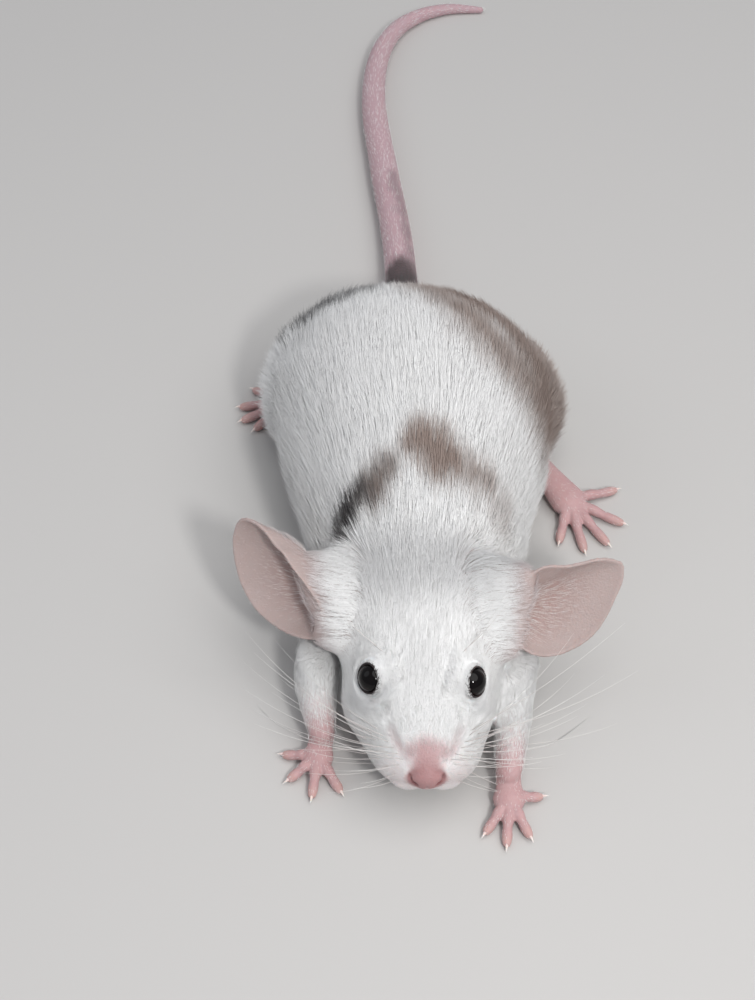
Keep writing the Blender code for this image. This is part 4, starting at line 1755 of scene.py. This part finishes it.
@dataclass
class Coat:
    """The fur, as fine closed tufts that follow the lie of the coat."""

    tufts: int = 246_000
    pieces: tuple = (
        "coat_muzzle", "coat_brow", "coat_crown", "coat_nape", "coat_shoulders", "coat_back",
        "coat_rump", "coat_tail",
    )
    length: tuple = (
        (-39.5, 0.35), (-37.5, 0.70), (-35.0, 1.40), (-31.0, 2.20), (-27.0, 2.80), (-23.0, 3.50),
        (-18.0, 4.30), (-12.0, 5.20), (-5.0, 5.70), (12.0, 5.90), (25.0, 5.80), (32.0, 4.80),
        (37.0, 3.00), (41.0, 1.60),
    )
    width: tuple = ((-39.0, 0.034), (-30.0, 0.042), (-20.0, 0.058), (-8.0, 0.080), (40.0, 0.086))
    density: tuple = (
        (-40.0, 60.0), (-37.0, 90.0), (-32.0, 125.0), (-24.0, 88.0), (-14.0, 50.0), (-4.0, 34.0),
        (40.0, 31.0),
    )
    lift: tuple = (
        (-39.0, 8.0), (-28.0, 10.0), (-18.0, 17.0), (-12.5, 30.0), (-8.0, 22.0), (0.0, 17.5),
        (40.0, 16.0),
    )
    leg_hair: Hair = Hair(2.3, -1.7, 0.075, -0.045, 18.0)
    ear_hair: Hair = Hair(0.50, 2.3, 0.020, 0.026, 13.0)
    foot_hair: Hair = Hair(0.55, 0.0, 0.035, 0.0, 12.0)
    tail_hair: Hair = Hair(0.9, 1.5, 0.036, 0.03, 13.0)
    under_shortening: float = 0.35
    chin_shortening: float = 0.35
    seat_turn: float = 0.75
    seat_length: float = 2.6
    seat_width: float = 0.050
    eye_reach: tuple = (5.4, 2.3)
    eye_parting: float = 0.16
    eye_shortening: float = 0.55
    eye_flattening: float = 0.25
    rim_reach: tuple = (1.5, 0.2)
    rim_shortening: float = 0.52
    rim_widening: float = 0.15
    eye_clearance: float = 0.16
    lid_clearances: tuple = (0.04, 0.10)
    root_depth: float = 0.12
    middle_share: float = 0.46
    tip_share: float = 0.56
    middle_rise: float = 1.45
    tip_rise: float = 0.42
    floor: float = 0.03
    clump: float = 0.15
    clump_size: int = 13
    longest_pull: float = 1.4
    map_patch: float = 0.003

    def crowding(self, surface: Surface, facts: SkinFacts) -> Array:
        """Finds how many tufts each square millimetre of the skin asks for.

        Args:
            surface: The skin.
            facts: What is known at each of its points.

        Returns:
            One number for each point.
        """
        p, normals = surface.points, surface.normals
        y, way = p[:, 1], facts.way
        # The legs thin out to the bare wrists, and the belly and the nose have little hair.
        haired = facts.body + facts.leg * (1 - 0.96 * smoothstep(0.60, 1.0, way + 2 * facts.foot))
        density = read_steps(self.density, y) * np.clip(haired, 0, 1)
        density *= 1 - 0.72 * smoothstep(-0.55, -0.9, np.minimum(normals[:, 2], 0))
        density *= (1 - facts.nose) ** 2
        # The pink of the nose's bridge shows through a thinner coat.
        sparse = 0.62 * smoothstep(-33.5, -35.5, y) + 0.36 * smoothstep(-36.6, -37.8, y)
        density *= 1 - facts.marks["pink"] * sparse
        # The ears are downy, and densest behind and at their roots.
        behind = facts.outer * (5.0 + 42.0 * smoothstep(0.72, 0.02, way) ** 1.3)
        density += facts.ear * (2.5 + 5.0 * smoothstep(0.75, 0.35, way) + behind)
        # The tail has sparse hairs, and a full coat at its root.
        on_tail = (3.2 + 45.0 * smoothstep(0.075, 0.035, way)) * (normals[:, 2] > -0.6)
        density += facts.foot * 3.0 * (normals[:, 2] > 0) + facts.tail * on_tail
        # The coat is dense round the eyes, and clear of the lids, the nose's foot and the floor.
        for eye in EYES:
            gap = eye.rim_gap(p)
            density *= (1 + 1.6 * smoothstep(1.3, 0.5, gap)) * (gap > self.eye_clearance)
        under_nose = (np.abs(p[:, 0] - 0.6) < 1.1) & (y < -37.9) & (p[:, 2] < 7.2)
        density[under_nose | (p[:, 2] < 0.02)] = 0
        return density

    def roots(self, skin: Skin, facts: SkinFacts, rng: Generator) -> dict:
        """Scatters the tufts' roots over the skin.

        Args:
            skin: The finished skin.
            facts: What is known at each of its points.
            rng: The source of chance.

        Returns:
            Arrays of the roots' places, normals and facts.
        """
        surface = skin.surface
        p = surface.points
        density = self.crowding(surface, facts)
        t = surface.triangles
        a, b, c = p[t[:, 0]], p[t[:, 1]], p[t[:, 2]]
        area = np.linalg.norm(np.cross(b - a, c - a), axis=1) / 2
        weight = np.cumsum(area * density[t].mean(1))
        tufts = self.tufts // 1
        LOG.info("the coat asks for %d tufts and gets %d", int(weight[-1]), tufts)
        pick = np.minimum(np.searchsorted(weight, rng.random(tufts) * weight[-1]), len(t) - 1)
        u, v = rng.random(tufts), rng.random(tufts)
        fold = u + v > 1
        u[fold], v[fold] = 1 - u[fold], 1 - v[fold]
        share = np.stack([1 - u - v, u, v], 1)

        def spread(values: Array) -> Array:
            """Reads values between a triangle's corners."""
            found = values[t[pick]]
            return (found * (share[..., None] if found.ndim == 3 else share)).sum(1)

        names = ("body", "leg", "foot", "ear", "tail", "way", "outer")
        roots = {name: spread(getattr(facts, name)) for name in names}
        roots["point"] = spread(p)
        roots["normal"] = unit(spread(surface.normals))
        roots["flow"] = unit(spread(facts.flow))
        return roots

    def shape(self, roots: dict, rng: Generator) -> dict:
        """Lays each tuft: its root, middle and tip.

        Args:
            roots: The roots, from the scattering.
            rng: The source of chance.

        Returns:
            The tufts' points, widths and sideways directions.
        """
        p, n, flow = roots["point"], roots["normal"], roots["flow"].copy()
        count = len(p)
        y = p[:, 1]
        length = read_steps(self.length, y)
        width = read_steps(self.width, y)
        lift = read_steps(self.lift, y)
        length *= 1 - self.under_shortening * smoothstep(0.1, 0.8, -n[:, 2])
        chin = smoothstep(-26, -31, y) * smoothstep(0.2, -0.5, n[:, 2])
        length *= 1 - self.chin_shortening * chin
        # The legs, ears, feet and tail have hair of their own.
        way = roots["way"]
        ear_base = smoothstep(0.95, 0.15, way) * (0.40 + 0.60 * roots["outer"])
        tail_root = smoothstep(0.09, 0.02, way)
        for region, share in (("leg", way), ("ear", ear_base), ("foot", way), ("tail", tail_root)):
            hair, part = getattr(self, region + "_hair"), np.clip(roots[region], 0, 1)
            length = length + (hair.length + hair.length_gain * share - length) * part
            width = width + (hair.width + hair.width_gain * share - width) * part
            lift = lift + (hair.lift - lift) * part
        # Hair runs up on to each ear where it is seated, and parts round each eye.
        for ear in EARS:
            near = smoothstep(6.5, 2.5, distance_to_route(p, ear.seat))
            near = near * (1 - roots["ear"]) * smoothstep(3.5, 8.0, np.abs(p[:, 0]))
            away = unit(flattened(ear.centre - p, n))
            turn = self.seat_turn * near[:, None]
            flow = unit(flow * (1 - turn) + turn * away)
            length = length * (1 - near) + near * self.seat_length
            width = width * (1 - near) + near * self.seat_width
        for eye in EYES:
            near = smoothstep(*self.eye_reach, np.linalg.norm(p - eye.centre, axis=1))
            away = unit(flattened(eye.outward(p), n))
            inward = np.minimum((flow * away).sum(1), 0)
            flow = unit(flow + away * (near * (self.eye_parting - inward))[:, None])
            rim = smoothstep(*self.rim_reach, eye.rim_gap(p))
            length *= (1 - self.eye_shortening * near) * (1 - self.rim_shortening * rim)
            width *= 1 + self.rim_widening * rim
            lift *= 1 - self.eye_flattening * near
        # Every tuft strays a little from the lie of the coat, less so on the face.
        side = unit(np.cross(n, flow))
        calm = 0.35 + 0.65 * smoothstep(-28, -14, y)
        sway = 8 * lattice_noise(p, 3.4, 11) + 4 * lattice_noise(p, 1.2, 12)
        sway = np.radians(calm * (sway + 6.0 * rng.standard_normal(count)))
        flow = flow * np.cos(sway)[:, None] + side * np.sin(sway)[:, None]
        side = unit(np.cross(n, flow))
        lift = lift * (1 + 0.14 * calm * lattice_noise(p, 2.2, 13))
        angle = np.radians(lift + 2.4 * calm * rng.standard_normal(count))
        length = length * rng.uniform(0.72, 1.14, count) * (1 + 0.08 * lattice_noise(p, 4.0, 14))
        rise = np.clip(angle * self.middle_rise, 0.08, 1.2)
        lie = np.clip(angle * self.tip_rise, 0.02, 0.9)
        step = flow * np.cos(rise)[:, None] + n * np.sin(rise)[:, None]
        middle = p + (length * self.middle_share)[:, None] * step
        step = flow * np.cos(lie)[:, None] + n * np.sin(lie)[:, None]
        tip = middle + (length * self.tip_share)[:, None] * step
        tip, middle = self.gather(p, middle, tip, roots, rng)
        # No tuft may reach over a lid, nor into the floor.
        for eye in EYES:
            start = eye.rim_gap(p)
            for points, spare in zip((middle, tip), self.lid_clearances):
                short = np.clip(start + spare - eye.rim_gap(points), 0, 1.5)
                points += eye.outward(points) * np.where(start < 3.0, short, 0)[:, None]
        for points in (middle, tip):
            points[:, 2] = np.maximum(points[:, 2], self.floor)
        root = p - n * self.root_depth
        return dict(root=root, middle=middle, tip=tip, width=width, side=side, normal=n)

    def gather(self, root: Array, middle: Array, tip: Array, roots: dict, rng: Generator) -> tuple:
        """Draws neighbouring tips together into locks.

        Args:
            root: Where the tufts start.
            middle: Their middle points.
            tip: Their tips.
            roots: The facts at their roots.
            rng: The source of chance.

        Returns:
            The tips and middle points in their new places.
        """
        count = len(root)
        leaders = rng.choice(count, max(count // self.clump_size, 8), replace=False)
        leader = leaders[nearest(search_tree(root[leaders]), root)]
        furry, y = np.clip(roots["body"] + 0.6 * roots["leg"], 0, 1), root[:, 1]
        hold = self.clump * rng.uniform(0.5, 1.0, count) * furry
        hold *= 0.15 + 0.85 * smoothstep(-26, -12, y) * (1 - 0.45 * smoothstep(-8, 2, y))
        pull = tip[leader] - tip
        far = np.linalg.norm(pull, axis=1, keepdims=True)
        pull *= np.minimum(1.0, self.longest_pull / np.maximum(far, 1e-6))
        return tip + pull * hold[:, None], middle + pull * 0.4 * hold[:, None]

    def make(self, skin_object: Object, skin: Skin, facts: SkinFacts, markings: Markings,
             material: Material) -> list:
        """Builds the coat's pieces.

        Args:
            skin_object: The skin's object.
            skin: The finished skin.
            facts: What is known at each of its points.
            markings: Where the colours are.
            material: The fur's finish.

        Returns:
            The pieces.
        """
        rng = np.random.default_rng(SEED)
        roots = self.roots(skin, facts, rng)
        laid = self.shape(roots, rng)
        marks = markings.read(laid["root"] * 0.35 + laid["tip"] * 0.65)
        ear_blush = roots["ear"] * smoothstep(0.1, 0.6, roots["way"]) * 0.40
        marks["pink"] = np.maximum(marks["pink"] * 0.55, ear_blush)
        uv = Unwrap(skin_object).place(roots["point"])
        # Tones differ at random from tuft to tuft, and painted shade runs in long streaks along the
        # lie of the coat, between its locks.
        streak_shade = lattice_noise(roots["point"] * [1.0, 0.16, 0.6], 0.30, 21)
        tone = np.clip(0.66 + 0.22 * rng.standard_normal(len(uv)) + 0.30 * streak_shade, 0, 1)
        order = np.argsort(roots["point"][:, 1], kind="stable")
        made = []
        for name, part in zip(self.pieces, np.array_split(order, len(self.pieces))):
            piece = self.piece(name, part, laid, marks, tone, uv)
            dress(piece, material, smooth=False)
            made.append(piece)
        return made

    def piece(self, name: str, part: Array, laid: dict, marks: dict, tone: Array,
              uv: Array) -> Object:
        """Builds one piece of the coat from some of the tufts.

        Args:
            name: The piece's name.
            part: Which tufts.
            laid: The tufts' points, widths and directions.
            marks: Their colour masks.
            tone: Their tones.
            uv: Their places on the map.

        Returns:
            The piece, with five points and six triangles for each tuft.
        """
        count = len(part)
        side, normal = laid["side"][part], laid["normal"][part]
        half = laid["width"][part][:, None] / 2
        ring = [
            laid["middle"][part] + half * (side * math.cos(turn) + 0.8 * normal * math.sin(turn))
            for turn in np.radians([30.0, 150.0, 270.0])
        ]
        points = np.stack([laid["root"][part], *ring, laid["tip"][part]], 1).reshape(-1, 3)
        base = (np.arange(count) * 5)[:, None]
        faces = [base + np.array([[0, 1 + (k + 1) % 3, 1 + k]]) for k in range(3)]
        faces += [base + np.array([[1 + k, 1 + (k + 1) % 3, 4]]) for k in range(3)]
        obj = mesh_object(name, points, [np.concatenate(faces)])
        for mask, values in marks.items():
            set_attribute(obj, mask, np.repeat(values[part], 5))
        set_attribute(obj, "tone", np.repeat(tone[part], 5))
        set_attribute(obj, "along", np.tile([0, 0.55, 0.55, 0.55, 1.0], count))
        patch = np.array([[0.5, 0], [0, 0.5], [1, 0.5], [0.5, 0.4], [0.5, 1]]) * self.map_patch
        spots = (uv[part][:, None] + patch[None] - self.map_patch / 2).reshape(-1, 2)
        corners = np.empty(len(obj.data.loops), np.int32)
        obj.data.loops.foreach_get("vertex_index", corners)
        layer = obj.data.uv_layers.new(name="OFBake")
        layer.data.foreach_set("uv", np.clip(spots[corners], 0, 1).astype(np.float32).reshape(-1))
        return obj


# --- eyes, claws and whiskers


@dataclass
class Eyeball:
    """A glossy eyeball with its clear front dome, and the dark edge of its lids."""

    eye: Eye
    dome_rise: float = 0.035
    dome_reach: float = 1.3
    lid_width: float = 0.085
    lid_height: float = 0.07
    lid_turn: float = 1.0
    lid_stand: float = 0.03

    def settle(self, obj: Object) -> None:
        """Turns a piece modelled round +Z to look out of the head, and fixes it there.

        Args:
            obj: The piece.
        """
        obj.rotation_euler = Vector(self.eye.looking).to_track_quat("Z", "Y").to_euler()
        obj.location = Vector(self.eye.centre) * MM
        fix_place()

    def make_ball(self, gloss: Material) -> None:
        """Models the eyeball: a sphere whose front is drawn out a little.

        Args:
            gloss: The eye's finish.
        """
        select_none()
        radius = self.eye.radius * MM
        bpy.ops.mesh.primitive_uv_sphere_add(segments=64, ring_count=40, radius=radius)
        ball = bpy.context.active_object
        ball.name = self.eye.name + "_ball"
        edit("DESELECT")
        edited()
        for vertex in ball.data.vertices:
            vertex.select = vertex.co.z > radius * 0.9999
        bpy.ops.object.mode_set(mode="EDIT")
        bpy.ops.transform.translate(
            value=(0, 0, self.dome_rise * MM), use_proportional_edit=True,
            proportional_edit_falloff="SMOOTH", proportional_size=self.dome_reach * MM,
        )
        edited()
        self.settle(ball)
        dress(ball, gloss, (self.eye.name,))

    def make_lid(self, material: Material) -> None:
        """Models the lids' edge: a ring pressed into a low oval section round the opening.

        Args:
            material: The lids' finish.
        """
        opening = math.radians(self.eye.opening - self.lid_turn)
        reach = self.eye.radius + self.lid_stand
        select_none()
        bpy.ops.mesh.primitive_torus_add(
            major_segments=72, minor_segments=10, major_radius=reach * math.sin(opening) * MM,
            minor_radius=self.lid_width * MM, location=(0, 0, reach * math.cos(opening) * MM),
        )
        edge = bpy.context.active_object
        edge.name = self.eye.name + "_lid"
        fix_place()
        edit("SELECT")
        bpy.ops.transform.resize(value=(1, 1, self.lid_height / self.lid_width),
                                 center_override=(0, 0, reach * math.cos(opening) * MM))
        edited()
        self.settle(edge)
        dress(edge, material)

    def make(self, gloss: Material, lid: Material) -> None:
        """Builds the eyeball and its lid edge."""
        self.make_ball(gloss)
        self.make_lid(lid)


@dataclass(frozen=True)
class Spike:
    """A tapering spike along +X that bends towards +Z, modelled once and copied to each place."""

    length: float
    radius: float
    bend: float
    taper: float = 0.8
    point_radius: float = 0.006
    steps: int = 11
    sides: int = 5

    def model(self) -> Object:
        """Models the spike from a disc, drawn out and narrowed step by step.

        Returns:
            The pattern, with its share along stored at each point.
        """
        select_none()
        bpy.ops.mesh.primitive_circle_add(
            vertices=self.sides, radius=(self.radius + self.point_radius) * MM,
            fill_type="NGON", rotation=(0, math.pi / 2, 0),
        )
        spike = bpy.context.active_object
        fix_place()
        edit("SELECT")
        shares = np.linspace(0, 1, self.steps + 1)
        widths = self.radius * (1 - shares) ** self.taper + self.point_radius
        for a, b, before, after in zip(shares[:-1], shares[1:], widths[:-1], widths[1:]):
            step = ((b - a) * self.length * MM, 0, (b**2 - a**2) * self.bend * MM)
            bpy.ops.mesh.extrude_region_move(TRANSFORM_OT_translate={"value": step})
            end = (b * self.length * MM, 0, b**2 * self.bend * MM)
            bpy.ops.transform.resize(value=(after / before,) * 3, center_override=end)
        bpy.ops.mesh.select_all(action="SELECT")
        bpy.ops.mesh.normals_make_consistent(inside=False)
        edited()
        along = np.array([vertex.co.x for vertex in spike.data.vertices]) / (self.length * MM)
        set_attribute(spike, "along", np.clip(along, 0, 1))
        return spike


@dataclass(frozen=True)
class Place:
    """Where a copy of a spike grows from, where it points, which way it bends and its size."""

    start: Array
    way: Array
    towards: Array | tuple
    size: float = 1.0

    def matrix(self) -> Matrix:
        """Works out the copy's place in the mouse.

        Returns:
            The place, turn and size in one.
        """
        way = unit(self.way)
        side = unit(np.cross(self.towards, way))
        up = np.cross(way, side)
        turned = Matrix(np.stack([way, side, up], 1).tolist()).to_4x4()
        return Matrix.Translation(Vector(self.start) * MM) @ turned @ Matrix.Scale(self.size, 4)


def planted(name: str, patterns: list, floor: float) -> Object:
    """Copies patterns to their places and joins the copies into one piece.

    Args:
        name: The piece's name.
        patterns: Pairs of a pattern and its places. Each pattern is removed once it is copied.
        floor: The least height of any point, in millimetres.

    Returns:
        The joined piece.
    """
    copies = []
    for pattern, places in patterns:
        for place in places:
            copies.append(added(name, pattern.data.copy()))
            copies[-1].data.transform(place.matrix())
        bpy.data.objects.remove(pattern)
    select_none()
    for copy in copies:
        copy.select_set(True)
    piece = copies[0]
    bpy.context.view_layer.objects.active = piece
    bpy.ops.object.join()
    piece.name = name
    for vertex in piece.data.vertices:
        vertex.co.z = max(vertex.co.z, floor * MM)
    return piece


@dataclass
class Claws:
    """The claws of one foot."""

    foot: Foot
    radius: float = 0.20
    bend: float = -0.34
    rise: float = 0.16
    toe_share: float = 0.35
    toe_height: float = 0.12
    floor: float = 0.02

    def make(self, material: Material) -> None:
        """Builds a claw at the end of each toe.

        Args:
            material: The claws' finish.
        """
        places = []
        for heading, reach in self.foot.toes:
            route, way = self.foot.toe_route(heading, reach)
            tip = route[-1][0] + way * self.foot.toe_radius * self.toe_share
            tip = tip + [0, 0, self.toe_height]
            places.append(Place(tip, way + [0, 0, self.rise], (0, 0, 1.0)))
        claw = Spike(self.foot.claw_length, self.radius, self.bend, 0.75, 0.004, 7, 10).model()
        dress(planted(self.foot.name + "_claws", [(claw, places)], self.floor), material)


@dataclass
class Whiskers:
    """The long whiskers of one side and the few over the eye."""

    side: float
    pad: tuple
    rows: int = 4
    columns: int = 6
    longest: float = 19.0
    brow_length: float = 9.0
    radius: float = 0.036
    brow_radius: float = 0.028
    bend: float = 0.22
    root_depth: float = 0.4
    sweep: tuple = (0.0, 1.0, 0.10)
    spread: float = 0.13
    sweep_spread: float = 0.30
    floor: float = 0.25

    def grown(self, start: Array, way: Array, size: float, tree: BVHTree, rng: Generator) -> Place:
        """Finds one whisker's place: rooted in the skin and swept back along the body.

        Args:
            start: A place near its root.
            way: Where it points, before chance turns it a little.
            size: Its length as a share of the pattern's.
            tree: The skin.
            rng: The source of chance.

        Returns:
            The place.
        """
        spot = np.array(tree.find_nearest(Vector(start))[0])
        way = way + self.spread * rng.standard_normal(3)
        towards = np.array(self.sweep) + self.sweep_spread * rng.standard_normal(3)
        return Place(spot - unit(way) * self.root_depth, way, towards, size)

    def make(self, name: str, material: Material, tree: BVHTree, rng: Generator) -> None:
        """Builds the whiskers of one side, one column of the pad after another.

        Args:
            name: The piece's name.
            material: Its finish.
            tree: The skin, to find where each whisker is rooted.
            rng: The source of chance.
        """
        patterns = []
        for column in range(self.columns):
            share = column / (self.columns - 1)
            places = []
            for row in range(self.rows):
                start = np.array(self.pad) + [
                    self.side * (0.5 + 2.2 * share),
                    0.35 + 3.4 * share + 0.3 * row,
                    1.9 - 1.15 * row + 0.3 * share,
                ]
                way = np.array([self.side, -0.35 + 0.75 * share, 0.30 - 0.23 * row])
                places.append(self.grown(start, way, rng.uniform(0.75, 1.1), tree, rng))
            length = self.longest * (0.28 + 0.72 * share)
            patterns.append((Spike(length, self.radius, self.bend * length).model(), places))
        places = []
        for over in (0.0, 0.7):
            start = np.array([self.side * (4.6 + over) + 0.3, -27.2 + over, 15.0])
            way = np.array([self.side * 0.9, 0.35, 0.75])
            places.append(self.grown(start, way, 1.0, tree, rng))
        over_eye = Spike(self.brow_length, self.brow_radius, self.bend * self.brow_length)
        patterns.append((over_eye.model(), places))
        dress(planted(name, patterns, self.floor), material)


# --- studio


@dataclass(frozen=True)
class Lamp:
    """One soft round lamp: its place, target and size in metres, and its power in watts."""

    name: str
    place: tuple
    target: tuple
    size: float
    power: float
    colour: tuple

    def hang(self) -> None:
        """Hangs the lamp and turns it to its target."""
        data = bpy.data.lights.new(self.name, "AREA")
        data.shape = "DISK"
        data.size = self.size
        data.energy = self.power
        data.color = self.colour
        lamp = added(self.name, data)
        lamp.location = self.place
        turned = (Vector(self.target) - Vector(self.place)).to_track_quat("-Z", "Y")
        lamp.rotation_euler = turned.to_euler()


@dataclass
class Studio:
    """The pale floor, the soft lights and the camera."""

    floor_colour: tuple = (0.55, 0.537, 0.523)
    world_colour: tuple = (0.90, 0.93, 1.0)
    world_strength: float = 0.37
    camera_place: tuple = (-4.721, -140.733, 175.732)
    camera_tilt: float = 40.0
    lens: float = 64.8
    lamps: tuple = (
        Lamp("key", (0.15, -0.04, 0.46), (0, -0.01, 0.01), 0.55, 1.40, (1.0, 0.99, 0.975)),
        Lamp("fill", (-0.34, 0.02, 0.30), (0, 0, 0.01), 0.30, 0.17, (0.93, 0.96, 1.0)),
        Lamp("catch", (0.085, -0.212, 0.238), (0, -0.03, 0.01), 0.044, 0.38, (1.0, 0.995, 0.985)),
    )

    def floor(self) -> None:
        """Lays the floor."""
        select_none()
        bpy.ops.mesh.primitive_plane_add(size=4.0, location=(0, 0, 0))
        floor = bpy.context.active_object
        floor.name = "studio_floor"
        nodes = Nodes("studio_floor")
        paler = tuple(c * 1.04 for c in self.floor_colour)
        nodes.colour(nodes.mix(nodes.noise(4.0), self.floor_colour, paler))
        nodes.value("Roughness", 0.85)
        floor.data.materials.append(nodes.material)

    def make(self) -> None:
        """Sets the whole studio."""
        self.floor()
        world = bpy.data.worlds.new("studio")
        world.use_nodes = True
        ground = world.node_tree.nodes["Background"]
        ground.inputs["Color"].default_value = (*self.world_colour, 1.0)
        ground.inputs["Strength"].default_value = self.world_strength
        bpy.context.scene.world = world
        for lamp in self.lamps:
            lamp.hang()
        view = bpy.context.scene.view_settings
        view.view_transform = "Standard"
        view.look = "None"
        data = bpy.data.cameras.new("camera")
        data.sensor_width = 36.0
        data.lens = self.lens
        data.clip_start = 0.005
        data.clip_end = 10.0
        camera = added("camera", data)
        camera.location = Vector(self.camera_place) * MM
        camera.rotation_euler = (math.radians(self.camera_tilt), 0, 0)
        bpy.context.scene.camera = camera


# --- the mouse


def main() -> None:
    """Builds the mouse and its studio."""
    logging.basicConfig(level=logging.INFO, format="%(name)s: %(message)s")
    Studio().make()
    markings = Markings()
    skin = Skin()
    skin_object = skin.make()
    LOG.info("skin shaped")
    facts = SkinFacts.read(skin, markings)
    facts.paint(skin_object, skin.surface)
    dress(skin_object, SkinFinish().make(), FLESH_NODES)
    Coat().make(skin_object, skin, facts, markings, FurFinish().make())
    gloss, lid = GlossFinish().make(), LidFinish().make()
    for eye in EYES:
        Eyeball(eye).make(gloss, lid)
    horny = HornFinish().make()
    for foot in FEET:
        Claws(foot).make(horny)
    surface = skin.surface
    tree = BVHTree.FromPolygons(surface.points.tolist(), surface.triangles.tolist())
    bristle = WhiskerFinish().make()
    rng = np.random.default_rng(SEED + 1)
    Whiskers(-1.0, (-1.6, -38.0, 7.6)).make("whiskers_right", bristle, tree, rng)
    Whiskers(1.0, (2.8, -38.0, 7.6)).make("whiskers_left", bristle, tree, rng)


if __name__ == "__main__":
    main()
